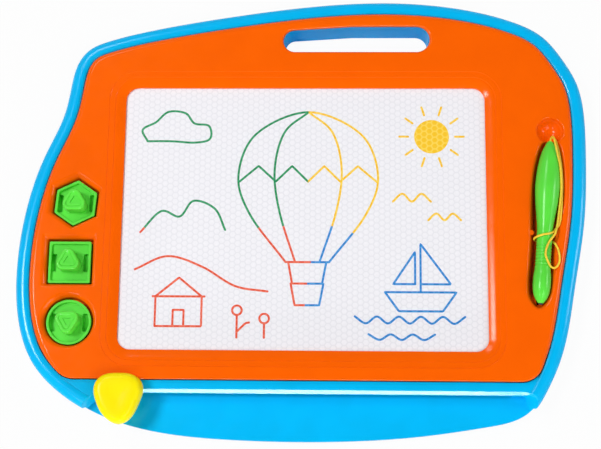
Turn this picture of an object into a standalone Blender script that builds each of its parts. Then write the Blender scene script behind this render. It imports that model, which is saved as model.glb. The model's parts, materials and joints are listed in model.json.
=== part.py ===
# Magnetic drawing board with a sliding eraser, three stamps and a pen on a cord.
#
# The board lies on its back. +X is to the right, +Y is towards the carrying handle and +Z
# comes out of the face. The origin is the middle of the outline, on the underside.
# All sizes are in metres.
import math

import bmesh
import bpy
import numpy as np
from mathutils import Matrix, Vector

# Outline of the whole board, as shares of its width and height, counter-clockwise
BOARD_WIDTH = 0.4221
BOARD_HEIGHT = 0.3343
OUTLINE_SHARES = [
    (0.3950, -0.4330), (0.4215, -0.3850), (0.4460, -0.3160), (0.4730, -0.1620), (0.4930, -0.0150),
    (0.5000, 0.1400), (0.4985, 0.2380), (0.4880, 0.3050), (0.4640, 0.3620), (0.4280, 0.4180),
    (0.3740, 0.4540), (0.2830, 0.4840), (0.1480, 0.4990), (0.0050, 0.4890), (-0.1400, 0.4640),
    (-0.2850, 0.4300), (-0.3560, 0.4060), (-0.3890, 0.3860), (-0.4080, 0.3550),
    (-0.4185, 0.3060), (-0.4290, 0.2330), (-0.4600, 0.1360), (-0.4895, 0.0050),
    (-0.5000, -0.1300), (-0.4925, -0.2400), (-0.4640, -0.3340), (-0.4170, -0.3960),
    (-0.3540, -0.4440), (-0.2700, -0.4780), (-0.1200, -0.4990), (0.0500, -0.5015),
    (0.2100, -0.4880), (0.3200, -0.4670),
]
POINTS_PER_SPAN = 3

# Levels above the underside
FACE_Z = 0.0240
SHELF_Z = 0.0080
BEAD_TOP_Z = 0.0210
LEDGE_Z = 0.0200

# Clearances that recur
TOUCH_GAP = 0.0003
OVERRUN = 0.0020
WELD_DISTANCE = 0.00001

# Rear shell
BEAD_RADIUS = 0.0052
BEAD_STEPS = 5
BEAD_INNER_STEPS = 3
WALL_SETBACK = 0.0015
SHELL_WALL = 0.0024
FLOOR_THICKNESS = 0.0024
BASE_ROUND = 0.0032
BASE_ROUND_STEPS = 2
RIM_LIP_Z = 0.0110

# Step down to the shelf, placed from the board's bottom, left and right edges
STEP_MARGIN = 0.03445
STEP_WALL_Y = STEP_MARGIN - BOARD_HEIGHT / 2
STEP_CHAMFER = 0.0032
STEP_LEFT_RADIUS = 0.0040
STEP_RIGHT_RADIUS = 0.0110
SHELF_LEFT_MARGIN = 0.0658
SHELF_LEFT_LEAN = 0.0150
SHELF_LEFT_DROP = 0.0153
SHELF_RIGHT_MARGIN = 0.0410
STEP_CORNER_STEPS = 5
LEDGE_WIDTH = 0.0094
LEDGE_RISE_LENGTH = 0.0220
LEDGE_RISE_END = 0.0030

# Front bezel
RIM_WIDTH = 0.0106
BEZEL_BOTTOM_Y = STEP_WALL_Y + LEDGE_WIDTH
BEZEL_CORNER_RADIUS = 0.0160
BEZEL_SKIRT_Z = 0.0120
BEZEL_PLATE = 0.0024
BEZEL_WALL = 0.0022
BEZEL_EDGE_ROUND = 0.0044
BEZEL_EDGE_STEPS = 4
BEZEL_CORNER_STEPS = 5
MOUTH_ROUND = 0.0018
MOUTH_ROUND_STEPS = 3

# Window, placed from the board's four edges, and its stepped frame
WINDOW_LEFT_MARGIN = 0.07735
WINDOW_RIGHT_MARGIN = 0.07495
WINDOW_TOP_MARGIN = 0.07015
WINDOW_BOTTOM_MARGIN = 0.06515
WINDOW_X = (WINDOW_LEFT_MARGIN - WINDOW_RIGHT_MARGIN) / 2
WINDOW_Y = (WINDOW_BOTTOM_MARGIN - WINDOW_TOP_MARGIN) / 2
WINDOW_WIDTH = BOARD_WIDTH - WINDOW_LEFT_MARGIN - WINDOW_RIGHT_MARGIN
WINDOW_HEIGHT = BOARD_HEIGHT - WINDOW_BOTTOM_MARGIN - WINDOW_TOP_MARGIN
WINDOW_CORNER = 0.0095
WINDOW_CORNER_STEPS = 5
FRAME_OUTER_MARGIN = 0.0124
FRAME_MIDDLE_MARGIN = 0.0080
FRAME_SLOPE_MARGIN = 0.0046
FRAME_STEP = 0.0004
FRAME_SLOPE_FALL = 0.0022
FRAME_DRAFT = 0.0006
FLANGE_THICKNESS = 0.0012
POCKET_RIB_WALL = 0.0018

# Screen panel
SCREEN_MARGIN = 0.0070
SCREEN_SHEET = 0.0005
SCREEN_CORE = 0.0016

# Handle slot: two end circles on one level lower edge, and a kink in the upper edge
SLOT_LEFT_X = -0.0066
SLOT_LEFT_RADIUS = 0.0088
SLOT_RIGHT_X = 0.0851
SLOT_RIGHT_RADIUS = 0.0102
SLOT_MARGIN = 0.04195
SLOT_LOW_Y = BOARD_HEIGHT / 2 - SLOT_MARGIN
SLOT_KINK_X = 0.0365
SLOT_ARC_STEPS = 8
TUNNEL_WALL = 0.0022

# Eraser slider, resting near the left edge and travelling to near the right edge
ERASER_LEFT_MARGIN = 0.08135
ERASER_RIGHT_MARGIN = 0.07075
ERASER_X = ERASER_LEFT_MARGIN - BOARD_WIDTH / 2
ERASER_TRAVEL = BOARD_WIDTH - ERASER_LEFT_MARGIN - ERASER_RIGHT_MARGIN
ARM_HALF_WIDTH = 0.0080
ARM_THICKNESS = 0.0030
ARM_SLOT_HEIGHT = 0.0038
ARM_SLOT_END_CLEARANCE = 0.0035
SHOE_HALF_LENGTH = 0.0200
SHOE_DEPTH = 0.0120
SHOE_SETBACK = 0.0207
SHOE_Y = STEP_WALL_Y + SHOE_SETBACK
RAIL_THICKNESS = 0.0020
RAIL_RISE = 0.0014
RAIL_MARGIN = 0.0090
RAIL_TOP_Y = WINDOW_Y + WINDOW_HEIGHT / 2 + RAIL_MARGIN
RAIL_SIDE_CLEARANCE = 0.0004
RAIL_OVERRUN = 0.0040
BAR_HALF_WIDTH = 0.0070
BAR_FLANGE = 0.0018
BAR_END_MARGIN = 0.0050
MAGNET_HALF_WIDTH = 0.0048
NECK_OVERHANG = 0.0078
KNOB_NECK_Y = STEP_WALL_Y - NECK_OVERHANG
PIN_RADIUS = 0.0030
PIN_RISE = 0.0140
NECK_HALF_LENGTH = 0.0070
NECK_HALF_DEPTH = 0.0056
NECK_CORNER = 0.0030

# Slider knob: a rounded three-cornered pick, points as shares of its width and length
KNOB_WIDTH = 0.0358
KNOB_LENGTH = 0.0366
KNOB_OVERHANG = 0.0055
KNOB_Y = STEP_WALL_Y - KNOB_OVERHANG
KNOB_SHARES = [
    (0.015, -0.497), (0.190, -0.440), (0.345, -0.250), (0.452, 0.000), (0.495, 0.160),
    (0.440, 0.350), (0.270, 0.470), (0.000, 0.500), (-0.270, 0.470), (-0.440, 0.350),
    (-0.498, 0.160), (-0.460, -0.020), (-0.345, -0.260), (-0.170, -0.430),
]
KNOB_POINTS_PER_SPAN = 2
KNOB_LIFT = 0.0016
KNOB_THICKNESS = 0.0110
KNOB_TOP_ROUND = 0.0075
KNOB_TOP_STEPS = 4
KNOB_BASE_ROUND = 0.0016
KNOB_BASE_STEPS = 1

# Stamps and their wells: distance from the board's edge beside them, and height above its bottom
STAMP_PLACES = {
    "hexagon": (0.03704, 0.17435),
    "square": (0.04002, 0.12935),
    "round": (0.03786, 0.08485),
}
STAMP_HEXAGON_TURN_DEGREES = -4.5
HEXAGON_RADIUS = 0.0174
SQUARE_SIDE = 0.0312
ROUND_RADIUS = 0.0166
STAMP_CORNER = 0.0012
STAMP_CORNER_STEPS = 2
ROUND_SIDES = 36
WELL_CLEARANCE = 0.0013
WELL_DRAFT = 0.0004
WELL_RISE_Y = 0.0005
WELL_FLOOR_Z = 0.0138
CUP_WALL = 0.0016
STAMP_RIM_Z = 0.0226
STAMP_RIM_WIDTH = 0.0020
STAMP_RIM_ROUND = 0.0004
STAMP_RIM_DEPTH = 0.0036
STAMP_MAGNET_THICKNESS = 0.0012
STAMP_MAGNET_MARGIN = 0.0030
GRIP_WIDTH = 0.0176
GRIP_TOP_Z = 0.0304
GRIP_DRAFT = 0.0005
GRIP_EDGE_ROUND = 0.0010
GRIP_ROUND_STEPS = 3
GRIP_CORNER = 0.0038
GRIP_CORNER_STEPS = 5
GRIP_BORDER = 0.0030
GRIP_BORDER_DEPTH = 0.0005
GRIP_MARK_SIDE = 0.0060
GRIP_MARK_DEPTH = 0.0011
FINGER_SLOT_X = 0.0098
FINGER_SLOT_LENGTH = 0.0132
FINGER_SLOT_ROOF = 0.0010
FINGER_SLOT_CORNER = 0.0012

# Pen: radius along its length from the tail, and its resting line in the trough, placed
# by its tail's distance from the board's right edge and height above its bottom
PEN_TAIL_MARGIN = 0.02745
PEN_TAIL_HEIGHT = 0.22165
PEN_LEAN_DEGREES = 4.9
PEN_LENGTH = 0.1216
PEN_RADIUS = 0.0090
PEN_PROFILE_SHARES = [
    (0.000, 0.200), (0.022, 0.370), (0.050, 0.540), (0.090, 0.710), (0.140, 0.850), (0.210, 0.960),
    (0.290, 1.000), (0.370, 0.935), (0.450, 0.800), (0.530, 0.665), (0.590, 0.630), (0.635, 0.625),
    (0.785, 0.640), (0.830, 0.700), (0.880, 0.725), (0.920, 0.690), (0.950, 0.600), (0.975, 0.450),
    (0.990, 0.310), (1.000, 0.200),
]
PEN_NECK_SHARE = 0.628
PEN_GRIP_START_SHARE = 0.640
PEN_GRIP_END_SHARE = 0.780
PEN_GRIP_RINGS = 7
PEN_GRIP_DEPTH = 0.0003
PEN_STEPS = 20
PEN_BORE_RADIUS = 0.0011
PEN_BORE_DEPTH = 0.0050
PEN_BORE_SIDES = 10
NIB_RADIUS = 0.0014
NIB_LENGTH = 0.0060
NIB_PROUD = 0.0010

# Trough round the pen, as shares of the pen's length along it and of its radius beside it
TROUGH_SHARES = [
    (0.003, 0.409), (-0.003, -0.326), (0.078, -0.884), (0.193, -1.138), (0.327, -1.200),
    (0.475, -1.136), (0.639, -1.024), (0.793, -1.031), (0.917, -0.997), (0.997, -0.625),
    (1.024, -0.097), (0.995, 0.396), (0.911, 0.763), (0.771, 0.881), (0.607, 0.876),
    (0.472, 1.045), (0.378, 1.308), (0.244, 1.262), (0.102, 0.989),
]
TROUGH_POINTS_PER_SPAN = 2
TROUGH_DRAFT = 0.0030
TROUGH_FLOOR_Z = 0.0140
NUB_SHARES = {"nub_left": (0.575, -1.063), "nub_right": (0.577, 1.047)}
NUB_RADIUS = 0.0018
NUB_LOW_Z = 0.0180
NUB_TOP_DROP = 0.0006

# Finger dish and the hole for the cord, placed from the pen's tail
DISH_PAST_TAIL = (0.0007, 0.0075)
DISH_RADIUS = 0.0105
DISH_DEPTH = 0.0074
DISH_SEGMENTS = 28
DISH_RINGS = 6
DISH_BOTTOM_SHARE = 0.08
DISH_WALL = 0.0014
CORD_HOLE_PAST_TAIL = (0.0023, 0.0054)
CORD_HOLE_RADIUS = 0.0013

# Cord of the pen, and its route from the knot to the tail of the pen: across and along the
# board from the pen's tail, and height above the underside
CORD_RADIUS = 0.0008
CORD_POINTS = 78
CORD_BEVEL_RESOLUTION = 2
CORD_SPAN_STEPS = 24
CORD_BEND_WEIGHT = 0.0040
KNOT_RADIUS = 0.0019
KNOT_LENGTH = 0.0030
CORD_ROUTE = [
    (0.0023, 0.0054, 0.0152), (0.0023, 0.0054, 0.0190), (0.0025, 0.0046, 0.0212),
    (0.0031, 0.0028, 0.0231), (0.0041, 0.0001, 0.0244), (0.0052, -0.0048, 0.0250),
    (0.0063, -0.0114, 0.0254), (0.0075, -0.0235, 0.0250), (0.0076, -0.0365, 0.0242),
    (0.0054, -0.0598, 0.0251), (0.0016, -0.0670, 0.0252), (-0.0021, -0.0703, 0.0292),
    (-0.0082, -0.0717, 0.0299), (-0.0128, -0.0728, 0.0260), (-0.0134, -0.0735, 0.0205),
    (-0.0097, -0.0741, 0.0158), (-0.0042, -0.0743, 0.0156), (-0.0006, -0.0751, 0.0199),
    (0.0010, -0.0773, 0.0247), (0.0035, -0.0830, 0.0252), (0.0039, -0.0905, 0.0252),
    (0.0009, -0.0952, 0.0254), (-0.0025, -0.0951, 0.0273), (-0.0054, -0.0910, 0.0298),
    (-0.0067, -0.0850, 0.0300), (-0.0040, -0.0774, 0.0295), (0.0006, -0.0710, 0.0288),
    (0.0029, -0.0634, 0.0266), (0.0049, -0.0513, 0.0257), (0.0066, -0.0365, 0.0264),
    (0.0061, -0.0205, 0.0281), (0.0042, -0.0105, 0.0288), (0.0031, -0.0045, 0.0291),
    (0.0026, -0.0015, 0.0287), (0.0022, 0.0011, 0.0279), (0.0015, 0.0027, 0.0261),
    (0.0008, 0.0029, 0.0245), (0.0003, 0.0016, 0.0235), (0.0000, -0.0008, 0.0233),
    (-0.0003, -0.0045, 0.0233),
]

# Case screws and the bosses and posts they join. Along the top they stand at shares of the
# board's width and distances below its top edge, and at the sides at distances inside the
# board's edge and above its bottom.
TOP_SCREWS = [(-0.3080, 0.04515), (-0.1066, 0.04015), (0.0948, 0.04915), (0.2961, 0.03415)]
LEFT_SCREWS = [(0.03184, 0.05915), (0.02571, 0.22515)]
RIGHT_SCREWS = [(0.02173, 0.06315)]
WINDOW_SCREW_MARGIN = 0.0239
WINDOW_SCREW_DROP = 0.0120
BOSS_RADIUS = 0.0042
POST_RADIUS = 0.0036
POST_Z = 0.0140
SCREW_SIDES = 12
BOSS_SIDES = 16
SCREW_HEAD_RADIUS = 0.0031
SCREW_HEAD_HEIGHT = 0.0022
SCREW_SHANK_RADIUS = 0.0014
SCREW_LENGTH = 0.0150
SCREW_SEAT_Z = 0.0060
SCREW_SHANK_HOLE = 0.0018
COUNTERBORE_RADIUS = 0.0040

# Materials: linear red, green and blue, then how rough and how metallic each one is
MATERIALS = {
    "bezel_orange": ((1.000, 0.125, 0.000), 0.28, 0.0),
    "shell_blue": ((0.000, 0.495, 0.930), 0.25, 0.0),
    "toy_green": ((0.110, 0.760, 0.055), 0.30, 0.0),
    "slider_yellow": ((1.000, 0.830, 0.010), 0.30, 0.0),
    "cord_yellow": ((1.000, 0.640, 0.030), 0.60, 0.0),
    "screen_white": ((0.850, 0.840, 0.880), 0.35, 0.0),
    "core_grey": ((0.700, 0.700, 0.720), 0.60, 0.0),
    "magnet_grey": ((0.045, 0.045, 0.050), 0.60, 0.0),
    "screw_steel": ((0.550, 0.560, 0.580), 0.35, 1.0),
}

# Limits that tell shapes apart
INSET_TURN_LIMIT = 0.5
UPRIGHT_LIMIT = 0.5
FLAT_DEGREES = 0.5
SHARP_DEGREES = 35
BEVEL_PROFILE = 0.5


# Plain helpers for loops of points

def closed_spline(points, per_span):
    """Points of the smooth closed curve through the given points."""
    knots = np.array(points)
    count = len(knots)
    after = np.roll(knots, -1, axis=0)
    spans = np.linalg.norm(after - knots, axis=1)
    before_spans = np.roll(spans, 1)
    matrix = np.zeros((count, count))
    right = np.zeros((count, 2))
    slopes = (after - knots) / spans[:, None]
    for i in range(count):
        matrix[i, i - 1] += spans[i]
        matrix[i, i] += 2 * (spans[i] + before_spans[i])
        matrix[i, (i + 1) % count] += before_spans[i]
        right[i] = 3 * (spans[i] * slopes[i - 1] + before_spans[i] * slopes[i])
    tangents = np.linalg.solve(matrix, right)
    loop = []
    for i in range(count):
        j = (i + 1) % count
        for step in range(per_span):
            t = step / per_span
            start = (2 * t**3 - 3 * t**2 + 1) * knots[i] + (t**3 - 2 * t**2 + t) * spans[i] * tangents[i]
            end = (3 * t**2 - 2 * t**3) * knots[j] + (t**3 - t**2) * spans[i] * tangents[j]
            loop.append(tuple(start + end))
    return loop


def inset(loop, distance):
    """The counter-clockwise loop moved inwards; a negative distance moves it outwards."""
    moved = []
    for i, point in enumerate(loop):
        before = Vector(point) - Vector(loop[i - 1])
        after = Vector(loop[(i + 1) % len(loop)]) - Vector(point)
        before.normalize()
        after.normalize()
        along = (before + after).normalized()
        stretch = 1 / max(along.dot(before), INSET_TURN_LIMIT)
        moved.append((point[0] - along.y * distance * stretch, point[1] + along.x * distance * stretch))
    return moved


def arc(centre, radius, start, end, steps):
    """Points on an arc, with the angles in radians."""
    points = []
    for i in range(steps + 1):
        angle = start + (end - start) * i / steps
        points.append((centre[0] + radius * math.cos(angle), centre[1] + radius * math.sin(angle)))
    return points


def rounded_polygon(corners, radii, steps):
    """Counter-clockwise polygon with each corner turned into an arc of its own radius."""
    loop = []
    for i, (corner, radius) in enumerate(zip(corners, radii)):
        here = Vector(corner)
        back = (Vector(corners[i - 1]) - here).normalized()
        ahead = (Vector(corners[(i + 1) % len(corners)]) - here).normalized()
        half = back.angle(ahead) / 2
        centre = here + (back + ahead).normalized() * radius / math.sin(half)
        turn = math.pi - 2 * half
        middle = math.atan2(here.y - centre.y, here.x - centre.x)
        start = middle - turn / 2
        loop += arc(centre, radius, start, start + turn, steps)
    return loop


def rounded_rectangle(centre, width, height, radius, steps):
    """Rectangle with rounded corners round a centre."""
    corners = []
    for across, up in ((1, -1), (1, 1), (-1, 1), (-1, -1)):
        corners.append((centre[0] + across * width / 2, centre[1] + up * height / 2))
    return rounded_polygon(corners, [radius] * len(corners), steps)


def regular_polygon(centre, radius, sides, turn):
    """Corners of a regular polygon whose first corner points along +Y before the turn."""
    corners = []
    for i in range(sides):
        angle = math.pi / 2 + turn + 2 * math.pi * i / sides
        corners.append((centre[0] + radius * math.cos(angle), centre[1] + radius * math.sin(angle)))
    return corners


def straight_bottom(loop, level, radius, steps):
    """The loop cut off along a level line, with a rounded corner at each end of the line."""
    inner = inset(loop, radius)
    high = level + radius
    count = len(loop)
    kept = [point[1] >= high for point in inner]
    first = next(i for i in range(count) if kept[i] and not kept[i - 1])
    last = next(i for i in range(count) if kept[i] and not kept[(i + 1) % count])

    def corner(inside, outside):
        share = (high - inner[outside][1]) / (inner[inside][1] - inner[outside][1])
        centre = Vector(inner[outside]).lerp(Vector(inner[inside]), share)
        edge = Vector(loop[outside]).lerp(Vector(loop[inside]), share)
        return centre, math.atan2(edge.y - centre.y, edge.x - centre.x)

    down = -math.pi / 2
    centre, angle = corner(first, first - 1)
    cut = arc(centre, radius, down, angle, steps)
    i = first
    while True:
        cut.append(loop[i % count])
        if i % count == last:
            break
        i += 1
    centre, angle = corner(last, (last + 1) % count)
    if angle > 0:
        angle -= 2 * math.pi
    return cut + arc(centre, radius, angle, down, steps)


# Plain helpers for objects

def clear_scene():
    """Empties the scene of what Blender starts with."""
    for old in list(bpy.data.objects):
        bpy.data.objects.remove(old)


def make_collection(name):
    """A new collection in the scene."""
    collection = bpy.data.collections.new(name)
    bpy.context.scene.collection.children.link(collection)
    return collection


def make_material(name, colour, roughness, metallic):
    """A Principled material of one colour."""
    material = bpy.data.materials.new(name)
    material.use_nodes = True
    shader = material.node_tree.nodes["Principled BSDF"]
    shader.inputs["Base Color"].default_value = (*colour, 1.0)
    shader.inputs["Roughness"].default_value = roughness
    shader.inputs["Metallic"].default_value = metallic
    material.diffuse_color = (*colour, 1.0)
    return material


def new_object(name, mesh, collection):
    """Links a mesh into a collection as an object."""
    piece = bpy.data.objects.new(name, mesh)
    collection.objects.link(piece)
    return piece


def mesh_from_curve(name, curve, collection, dissolve):
    """A welded mesh object from a curve object, which is then removed."""
    depsgraph = bpy.context.evaluated_depsgraph_get()
    mesh = bpy.data.meshes.new_from_object(curve.evaluated_get(depsgraph))
    mesh.name = name
    shape = bmesh.new()
    shape.from_mesh(mesh)
    bmesh.ops.remove_doubles(shape, verts=shape.verts, dist=WELD_DISTANCE)
    if dissolve:
        flat = math.radians(FLAT_DEGREES)
        bmesh.ops.dissolve_limit(shape, angle_limit=flat, verts=shape.verts, edges=shape.edges)
    bmesh.ops.recalc_face_normals(shape, faces=shape.faces)
    shape.to_mesh(mesh)
    shape.free()
    place = curve.matrix_world.copy()
    bpy.data.objects.remove(curve)
    piece = new_object(name, mesh, collection)
    piece.matrix_world = place
    return piece


def prism(name, loops, low, high, collection):
    """A flat outline, with any inner loops as holes, raised from one level to another."""
    data = bpy.data.curves.new(name, "CURVE")
    data.dimensions = "2D"
    data.fill_mode = "BOTH"
    data.extrude = (high - low) / 2
    for loop in loops:
        spline = data.splines.new("POLY")
        spline.points.add(len(loop) - 1)
        for point, place in zip(spline.points, loop):
            point.co = (place[0], place[1], 0, 1)
        spline.use_cyclic_u = True
    curve = new_object(name, data, collection)
    curve.location.z = (low + high) / 2
    bpy.context.view_layer.update()
    return mesh_from_curve(name, curve, collection, dissolve=True)


def loft(name, rings, collection):
    """A solid through outlines with as many points, one above the other."""
    mesh = bpy.data.meshes.new(name)
    shape = bmesh.new()
    layers = [[shape.verts.new((x, y, level)) for x, y in loop] for loop, level in rings]
    shape.faces.new(layers[0][::-1])
    shape.faces.new(layers[-1])
    for below, above in zip(layers, layers[1:]):
        for i, corner in enumerate(below):
            shape.faces.new((below[i - 1], corner, above[i], above[i - 1]))
    bmesh.ops.recalc_face_normals(shape, faces=shape.faces)
    shape.to_mesh(mesh)
    shape.free()
    return new_object(name, mesh, collection)


def rounding(radius, steps, high):
    """Inset and level of each point of a quarter round that rises from a wall to a level top."""
    points = []
    for i in range(steps + 1):
        angle = math.pi / 2 * i / steps
        points.append((radius * (1 - math.cos(angle)), high - radius * (1 - math.sin(angle))))
    return points


def flared_mouth(loop_at, high, above):
    """Rings of a hollow whose mouth is rounded outwards, loop_at giving its outline for a growth."""
    rings = []
    for inwards, level in rounding(MOUTH_ROUND, MOUTH_ROUND_STEPS, high):
        rings.append((loop_at(inwards), level))
    return rings + [(loop_at(MOUTH_ROUND), above)]


def cylinder(name, place, radius, low, high, sides, collection):
    """An upright cylinder at a place on the board."""
    mesh = bpy.data.meshes.new(name)
    shape = bmesh.new()
    bmesh.ops.create_cone(shape, cap_ends=True, segments=sides, radius1=radius, radius2=radius,
                          depth=high - low)
    shape.to_mesh(mesh)
    shape.free()
    piece = new_object(name, mesh, collection)
    piece.location = (place[0], place[1], (low + high) / 2)
    return piece


def block(name, low_corner, high_corner, collection):
    """A box between two corners."""
    mesh = bpy.data.meshes.new(name)
    shape = bmesh.new()
    bmesh.ops.create_cube(shape, size=1)
    size = Vector(high_corner) - Vector(low_corner)
    bmesh.ops.scale(shape, vec=size, verts=shape.verts)
    shape.to_mesh(mesh)
    shape.free()
    piece = new_object(name, mesh, collection)
    piece.location = (Vector(low_corner) + Vector(high_corner)) / 2
    return piece


def round_level_edges(piece, level, radius, steps):
    """Rounds the edges of a prism that run round it at one local level."""
    shape = bmesh.new()
    shape.from_mesh(piece.data)
    edges = []
    for edge in shape.edges:
        at_level = all(abs(vert.co.z - level) < WELD_DISTANCE for vert in edge.verts)
        upright = [face for face in edge.link_faces if abs(face.normal.z) < UPRIGHT_LIMIT]
        if at_level and len(upright) == 1:
            edges.append(edge)
    bmesh.ops.bevel(shape, geom=edges, offset=radius, segments=steps, profile=BEVEL_PROFILE,
                    affect="EDGES", clamp_overlap=True)
    shape.to_mesh(piece.data)
    shape.free()


def boolean(piece, operation, operand):
    """Adds a Boolean, switched off until all shapes are there, with an object or a collection."""
    modifier = piece.modifiers.new(operation.lower(), "BOOLEAN")
    modifier.show_viewport = False
    modifier.operation = operation
    modifier.solver = "EXACT"
    if isinstance(operand, bpy.types.Collection):
        modifier.operand_type = "COLLECTION"
        modifier.collection = operand
    else:
        modifier.object = operand


def guide_collection(name, parent):
    """A collection for cutters and joined shapes, which aren't pieces themselves."""
    collection = bpy.data.collections.new(name)
    parent.children.link(collection)
    return collection


def switch_on_modifiers():
    """Switches on the Booleans of all objects at once."""
    for piece in bpy.data.objects:
        for modifier in piece.modifiers:
            modifier.show_viewport = True


def hide_guides(collection):
    """Marks all cutters and joined shapes as guides."""
    for guide in collection.all_objects:
        guide.hide_render = True
        guide.display_type = "WIRE"


def finish_piece(piece, material):
    """Gives a piece its material and smooth shading with sharp edges."""
    piece.data.materials.clear()
    piece.data.materials.append(material)
    piece.data.shade_smooth()
    piece.data.set_sharp_from_angle(angle=math.radians(SHARP_DEGREES))


# Shared outlines

def board_outline():
    """The outer edge of the rim bead."""
    points = [(x * BOARD_WIDTH, y * BOARD_HEIGHT) for x, y in OUTLINE_SHARES]
    return closed_spline(points, POINTS_PER_SPAN)


def bezel_outline(grow=0.0):
    """The edge of the bezel, or the same grown outwards."""
    edge = inset(board_outline(), RIM_WIDTH - grow)
    return straight_bottom(edge, BEZEL_BOTTOM_Y - grow, BEZEL_CORNER_RADIUS + grow, BEZEL_CORNER_STEPS)


def beside_edge(side, margin, height):
    """A place inside the board's left (-1) or right (1) edge, at a height above its bottom."""
    y = height - BOARD_HEIGHT / 2
    edge = board_outline()
    reach = 0
    for before, after in zip(edge[-1:] + edge, edge):
        if min(before[1], after[1]) <= y < max(before[1], after[1]):
            share = (y - before[1]) / (after[1] - before[1])
            reach = max(reach, side * (before[0] + share * (after[0] - before[0])))
    return side * (reach - margin), y


def stamp_place(name):
    """Centre of a stamp on the board."""
    margin, height = STAMP_PLACES[name]
    return beside_edge(-1, margin, height)


def screw_places():
    """Centres of the case screws."""
    places = [(x * BOARD_WIDTH, BOARD_HEIGHT / 2 - drop) for x, drop in TOP_SCREWS]
    places += [beside_edge(-1, margin, height) for margin, height in LEFT_SCREWS]
    places += [beside_edge(1, margin, height) for margin, height in RIGHT_SCREWS]
    window_screw_x = WINDOW_X + WINDOW_WIDTH / 2 + WINDOW_SCREW_MARGIN
    places.append((window_screw_x, WINDOW_Y + WINDOW_HEIGHT / 2 - WINDOW_SCREW_DROP))
    return places


def window_outline(margin=0.0):
    """The window, or the same with a margin all round."""
    centre = (WINDOW_X, WINDOW_Y)
    width = WINDOW_WIDTH + 2 * margin
    height = WINDOW_HEIGHT + 2 * margin
    return rounded_rectangle(centre, width, height, WINDOW_CORNER + margin, WINDOW_CORNER_STEPS)


def handle_outline():
    """The handle slot, counter-clockwise from its lower left."""
    left = (SLOT_LEFT_X, SLOT_LOW_Y + SLOT_LEFT_RADIUS)
    right = (SLOT_RIGHT_X, SLOT_LOW_Y + SLOT_RIGHT_RADIUS)
    up = math.pi / 2
    loop = arc(right, SLOT_RIGHT_RADIUS, -up, up, SLOT_ARC_STEPS)
    loop.append((SLOT_KINK_X, SLOT_LOW_Y + 2 * SLOT_RIGHT_RADIUS))
    return loop + arc(left, SLOT_LEFT_RADIUS, up, 3 * up, SLOT_ARC_STEPS)


def shelf_outline():
    """The foot of the step round the lower shelf, open past the board's edge."""
    below = -BOARD_HEIGHT
    right_x = BOARD_WIDTH / 2 - SHELF_RIGHT_MARGIN
    left_x = SHELF_LEFT_MARGIN - BOARD_WIDTH / 2
    low_x = left_x - SHELF_LEFT_LEAN
    corners = [
        (right_x, below), (right_x, STEP_WALL_Y), (left_x, STEP_WALL_Y),
        (low_x, STEP_WALL_Y - SHELF_LEFT_DROP), (low_x, below),
    ]
    radii = [STEP_LEFT_RADIUS, STEP_RIGHT_RADIUS, STEP_LEFT_RADIUS, STEP_LEFT_RADIUS, STEP_LEFT_RADIUS]
    return rounded_polygon(corners, radii, STEP_CORNER_STEPS)


def stamp_outline(name, grow=0.0):
    """Outline of a stamp round its own centre, or the same grown outwards."""
    turn = math.radians(STAMP_HEXAGON_TURN_DEGREES)
    if name == "hexagon":
        sides = 6
        radius = HEXAGON_RADIUS + grow / math.cos(math.pi / sides)
        corners = regular_polygon((0, 0), radius, sides, turn)
        return rounded_polygon(corners, [STAMP_CORNER] * sides, STAMP_CORNER_STEPS)
    if name == "square":
        side = SQUARE_SIDE + 2 * grow
        return rounded_rectangle((0, 0), side, side, STAMP_CORNER, STAMP_CORNER_STEPS)
    return regular_polygon((0, 0), ROUND_RADIUS + grow, ROUND_SIDES, 0)


def moved(loop, centre):
    """The loop moved to a centre."""
    return [(x + centre[0], y + centre[1]) for x, y in loop]


def pen_tail():
    """Place of the pen's tail on the board."""
    return beside_edge(1, PEN_TAIL_MARGIN, PEN_TAIL_HEIGHT)


def past_tail(offset):
    """A place on the board given from the pen's tail."""
    x, y = pen_tail()
    return x + offset[0], y + offset[1]


def beside_pen(along, across):
    """A place on the board, by shares of the pen's length along it and its radius beside it."""
    lean = math.radians(PEN_LEAN_DEGREES)
    forth = along * PEN_LENGTH
    aside = across * PEN_RADIUS
    right = aside * math.cos(lean) - forth * math.sin(lean)
    return past_tail((right, -forth * math.cos(lean) - aside * math.sin(lean)))


def pen_frame():
    """Matrix that lays the pen, whose own axis runs along -Z from its tail, in the trough."""
    lean = math.radians(PEN_LEAN_DEGREES)
    lay = Matrix.Rotation(-lean, 4, "Z") @ Matrix.Rotation(-math.pi / 2, 4, "X")
    return Matrix.Translation((*pen_tail(), pen_axis_z())) @ lay


def pen_axis_z():
    """Height of the pen's axis, with its widest part on the trough's floor."""
    return TROUGH_FLOOR_Z + TOUCH_GAP + PEN_RADIUS


def pen_profile():
    """Distance from the tail and radius of each point of the pen's side."""
    profile = []
    grip = []
    pitch = (PEN_GRIP_END_SHARE - PEN_GRIP_START_SHARE) / PEN_GRIP_RINGS
    for ring in range(PEN_GRIP_RINGS):
        start = PEN_GRIP_START_SHARE + ring * pitch
        neck = PEN_NECK_SHARE * PEN_RADIUS
        grip.append((start * PEN_LENGTH, neck))
        grip.append(((start + pitch / 2) * PEN_LENGTH, neck - PEN_GRIP_DEPTH))
    for along, across in PEN_PROFILE_SHARES:
        if grip and along > PEN_GRIP_END_SHARE:
            profile += grip
            grip = []
        profile.append((along * PEN_LENGTH, across * PEN_RADIUS))
    return profile


def trough_outline(grow=0.0):
    """The trough's mouth, or the same grown outwards."""
    points = [beside_pen(along, across) for along, across in TROUGH_SHARES]
    return inset(closed_spline(points, TROUGH_POINTS_PER_SPAN), -grow)


# The pieces

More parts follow.
